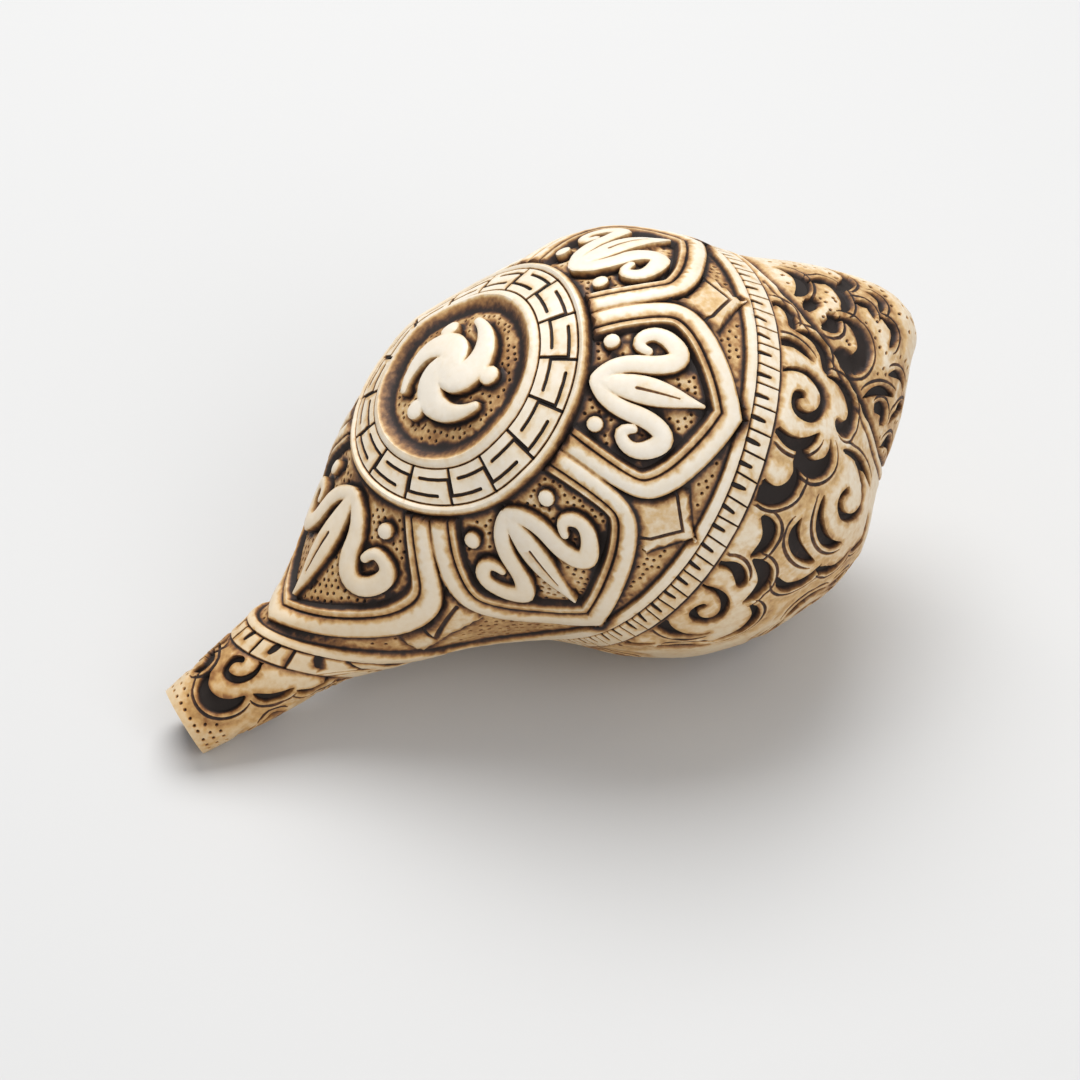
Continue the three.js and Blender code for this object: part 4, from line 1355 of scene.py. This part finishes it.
# Look of the shell: cream where it is rubbed, brown to near black in the carving, from stain and painted
# shade together.
shellLook = {
    "ramp": [
        (0.0, (0.83, 0.76, 0.655)), (0.12, (0.79, 0.685, 0.53)), (0.3, (0.64, 0.43, 0.20)),
        (0.5, (0.35, 0.175, 0.06)), (0.7, (0.10, 0.043, 0.019)), (0.86, (0.026, 0.013, 0.010)),
        (1.0, (0.015, 0.009, 0.007)),
    ],
    "patch": {"scale": 85.0, "detail": 6, "rough": 0.6, "from": (0.32, 0.72), "to": (-0.108, 0.18)},
    "grain": {"scale": 900.0, "detail": 4, "rough": 0.5, "from": (0.3, 0.7), "to": (-0.06, 0.12)},
    "shiftFrom": (0.0, 0.3), "shiftTo": (0.35, 1.1),  # the noise shifts stain and painted shade more where there is some
    "lowTint": (0.80, 0.62, 0.36), "lowFrom": (0.0, 0.06), "lowTo": (0.8, 0.04),
    "rough": (0.36, 0.72), "bumpStrength": 0.5, "bumpDistance": 0.00006, "specular": 0.42, "sharpAngle": 38,
}


def makeNode(tree, kind, place, **values):
    node = tree.nodes.new(kind)
    node.location = place
    for name, value in values.items():
        setattr(node, name, value)
    return node


def makeRange(tree, place, source, valuesFrom, valuesTo):
    node = makeNode(tree, "ShaderNodeMapRange", place)
    node.inputs["From Min"].default_value, node.inputs["From Max"].default_value = valuesFrom
    node.inputs["To Min"].default_value, node.inputs["To Max"].default_value = valuesTo
    tree.links.new(source, node.inputs["Value"])
    return node.outputs["Result"]


def makeMath(tree, place, kind, first, second, clamped=False):
    node = makeNode(tree, "ShaderNodeMath", place, operation=kind, use_clamp=clamped)
    tree.links.new(first, node.inputs[0])
    tree.links.new(second, node.inputs[1])
    return node.outputs[0]


def makeNoise(tree, place, where, look):
    node = makeNode(tree, "ShaderNodeTexNoise", place)
    node.inputs["Scale"].default_value = look["scale"]
    node.inputs["Detail"].default_value = look["detail"]
    node.inputs["Roughness"].default_value = look["rough"]
    tree.links.new(where, node.inputs["Vector"])
    return node.outputs["Fac"]


def shellMaterial():
    material = bpy.data.materials.new("stainedShadedShell")
    material.use_nodes = True
    tree = material.node_tree
    links = tree.links
    shader = tree.nodes["Principled BSDF"]
    shader.inputs["Specular IOR Level"].default_value = shellLook["specular"]
    stainAndShade = makeNode(tree, "ShaderNodeAttribute", (-1200, 200), attribute_name="stainAndShade").outputs["Fac"]
    where = makeNode(tree, "ShaderNodeTexCoord", (-1400, -200)).outputs["Object"]
    patch = makeNoise(tree, (-1200, -100), where, shellLook["patch"])
    grain = makeNoise(tree, (-1200, -400), where, shellLook["grain"])
    lift = makeRange(tree, (-1000, -100), patch, shellLook["patch"]["from"], shellLook["patch"]["to"])
    fine = makeRange(tree, (-1000, -400), grain, shellLook["grain"]["from"], shellLook["grain"]["to"])
    both = makeMath(tree, (-800, -200), "ADD", lift, fine)
    weight = makeRange(tree, (-800, 0), stainAndShade, shellLook["shiftFrom"], shellLook["shiftTo"])
    shift = makeMath(tree, (-600, -100), "MULTIPLY", both, weight)
    total = makeMath(tree, (-450, 100), "ADD", stainAndShade, shift, True)
    ramp = makeNode(tree, "ShaderNodeValToRGB", (-300, 150))
    spots = ramp.color_ramp.elements
    while len(spots) < len(shellLook["ramp"]):
        spots.new(0.5)
    for spot, (at, colour) in zip(spots, shellLook["ramp"]):
        spot.position = at
        spot.color = (*colour, 1)
    links.new(total, ramp.inputs["Fac"])
    # darker and yellower towards the underside and the canal, by height
    split = makeNode(tree, "ShaderNodeSeparateXYZ", (-1000, 400))
    links.new(where, split.inputs[0])
    low = makeRange(tree, (-600, 400), split.outputs["Z"], shellLook["lowFrom"], shellLook["lowTo"])
    warm = makeNode(tree, "ShaderNodeMix", (-50, 200), data_type="RGBA", blend_type="MULTIPLY")
    warm.inputs["B"].default_value = (*shellLook["lowTint"], 1)
    links.new(low, warm.inputs["Factor"])
    links.new(ramp.outputs["Color"], warm.inputs["A"])
    links.new(warm.outputs["Result"], shader.inputs["Base Color"])
    rough = makeRange(tree, (-300, -150), total, (0.0, 1.0), shellLook["rough"])
    links.new(rough, shader.inputs["Roughness"])
    bump = makeNode(tree, "ShaderNodeBump", (-300, -400))
    bump.inputs["Strength"].default_value = shellLook["bumpStrength"]
    bump.inputs["Distance"].default_value = shellLook["bumpDistance"]
    links.new(grain, bump.inputs["Height"])
    links.new(bump.outputs["Normal"], shader.inputs["Normal"])
    return material


# Floor, a hair under the shell, and the world's light.
studio = {
    "floor": (0.6, 0.6, 0.598), "rough": 0.6, "specular": 0.25, "half": 4.0, "level": -0.0001, "world": 0.48,
}


def floorObject():
    half, level = studio["half"], studio["level"]
    corners = [(x, y, level) for x, y in ((-half, -half), (half, -half), (half, half), (-half, half))]
    mesh = bpy.data.meshes.new("floor")
    mesh.from_pydata(corners, [], [(0, 1, 2, 3)])
    floor = bpy.data.objects.new("floor", mesh)
    bpy.context.scene.collection.objects.link(floor)
    material = bpy.data.materials.new("paleFloor")
    material.use_nodes = True
    shader = material.node_tree.nodes["Principled BSDF"]
    shader.inputs["Base Color"].default_value = (*studio["floor"], 1)
    shader.inputs["Roughness"].default_value = studio["rough"]
    shader.inputs["Specular IOR Level"].default_value = studio["specular"]
    mesh.materials.append(material)


lampAim = (0, 0, 0.03)
lamps = [
    {"name": "topLight", "at": (0.10, 0.38, 0.85), "size": 0.7, "power": 8.5},
    {"name": "frontLight", "at": (0.15, -0.9, 0.75), "size": 0.8, "power": 5.0},
]


def addLights():
    for lamp in lamps:
        light = bpy.data.lights.new(lamp["name"], "AREA")
        light.energy = lamp["power"]
        light.size = lamp["size"]
        holder = bpy.data.objects.new(lamp["name"], light)
        holder.location = lamp["at"]
        holder.rotation_mode = "QUATERNION"
        holder.rotation_quaternion = (Vector(lampAim) - Vector(lamp["at"])).to_track_quat("-Z", "Y")
        bpy.context.scene.collection.objects.link(holder)
    world = bpy.data.worlds.new("studio")
    world.use_nodes = True
    world.node_tree.nodes["Background"].inputs["Color"].default_value = (1, 1, 1, 1)
    world.node_tree.nodes["Background"].inputs["Strength"].default_value = studio["world"]
    bpy.context.scene.world = world
    bpy.context.scene.view_settings.view_transform = "Standard"


viewpoint = {
    "at": (-0.1861, -0.4132, 0.4317), "forward": (0.3032, 0.6785, -0.6691), "right": (0.9130, -0.4080, 0.0),
    "focal": 3380.0, "frame": 1080.0, "sensor": 36.0, "clip": (0.01, 20),
}


def addCamera():
    data = bpy.data.cameras.new("camera")
    data.sensor_width = viewpoint["sensor"]
    data.lens = viewpoint["focal"] / viewpoint["frame"] * viewpoint["sensor"]
    data.clip_start, data.clip_end = viewpoint["clip"]
    camera = bpy.data.objects.new("camera", data)
    right = Vector(viewpoint["right"]).normalized()
    back = -Vector(viewpoint["forward"]).normalized()
    up = back.cross(right)
    turned = Matrix((right, up, back)).transposed().to_4x4()
    camera.matrix_world = Matrix.Translation(viewpoint["at"]) @ turned
    bpy.context.scene.collection.objects.link(camera)
    bpy.context.scene.camera = camera


addCamera()
floorObject()
addLights()
print("camera, floor and lights are in place")

keyPattern()
whirlStrokes()
petalOrnament()
dartStrokes()
tickStrokes()
scrollStrokes()
print("strokes:", len(strokes))
dotPlaces, dotTurns = [np.concatenate(pair) for pair in zip(dialDots(), spireDots())]
print("dots:", len(dotPlaces))

shell = shellObject()
shell.data.materials.append(shellMaterial())
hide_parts("shell")
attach(shell, "root")
print("shell is in place")
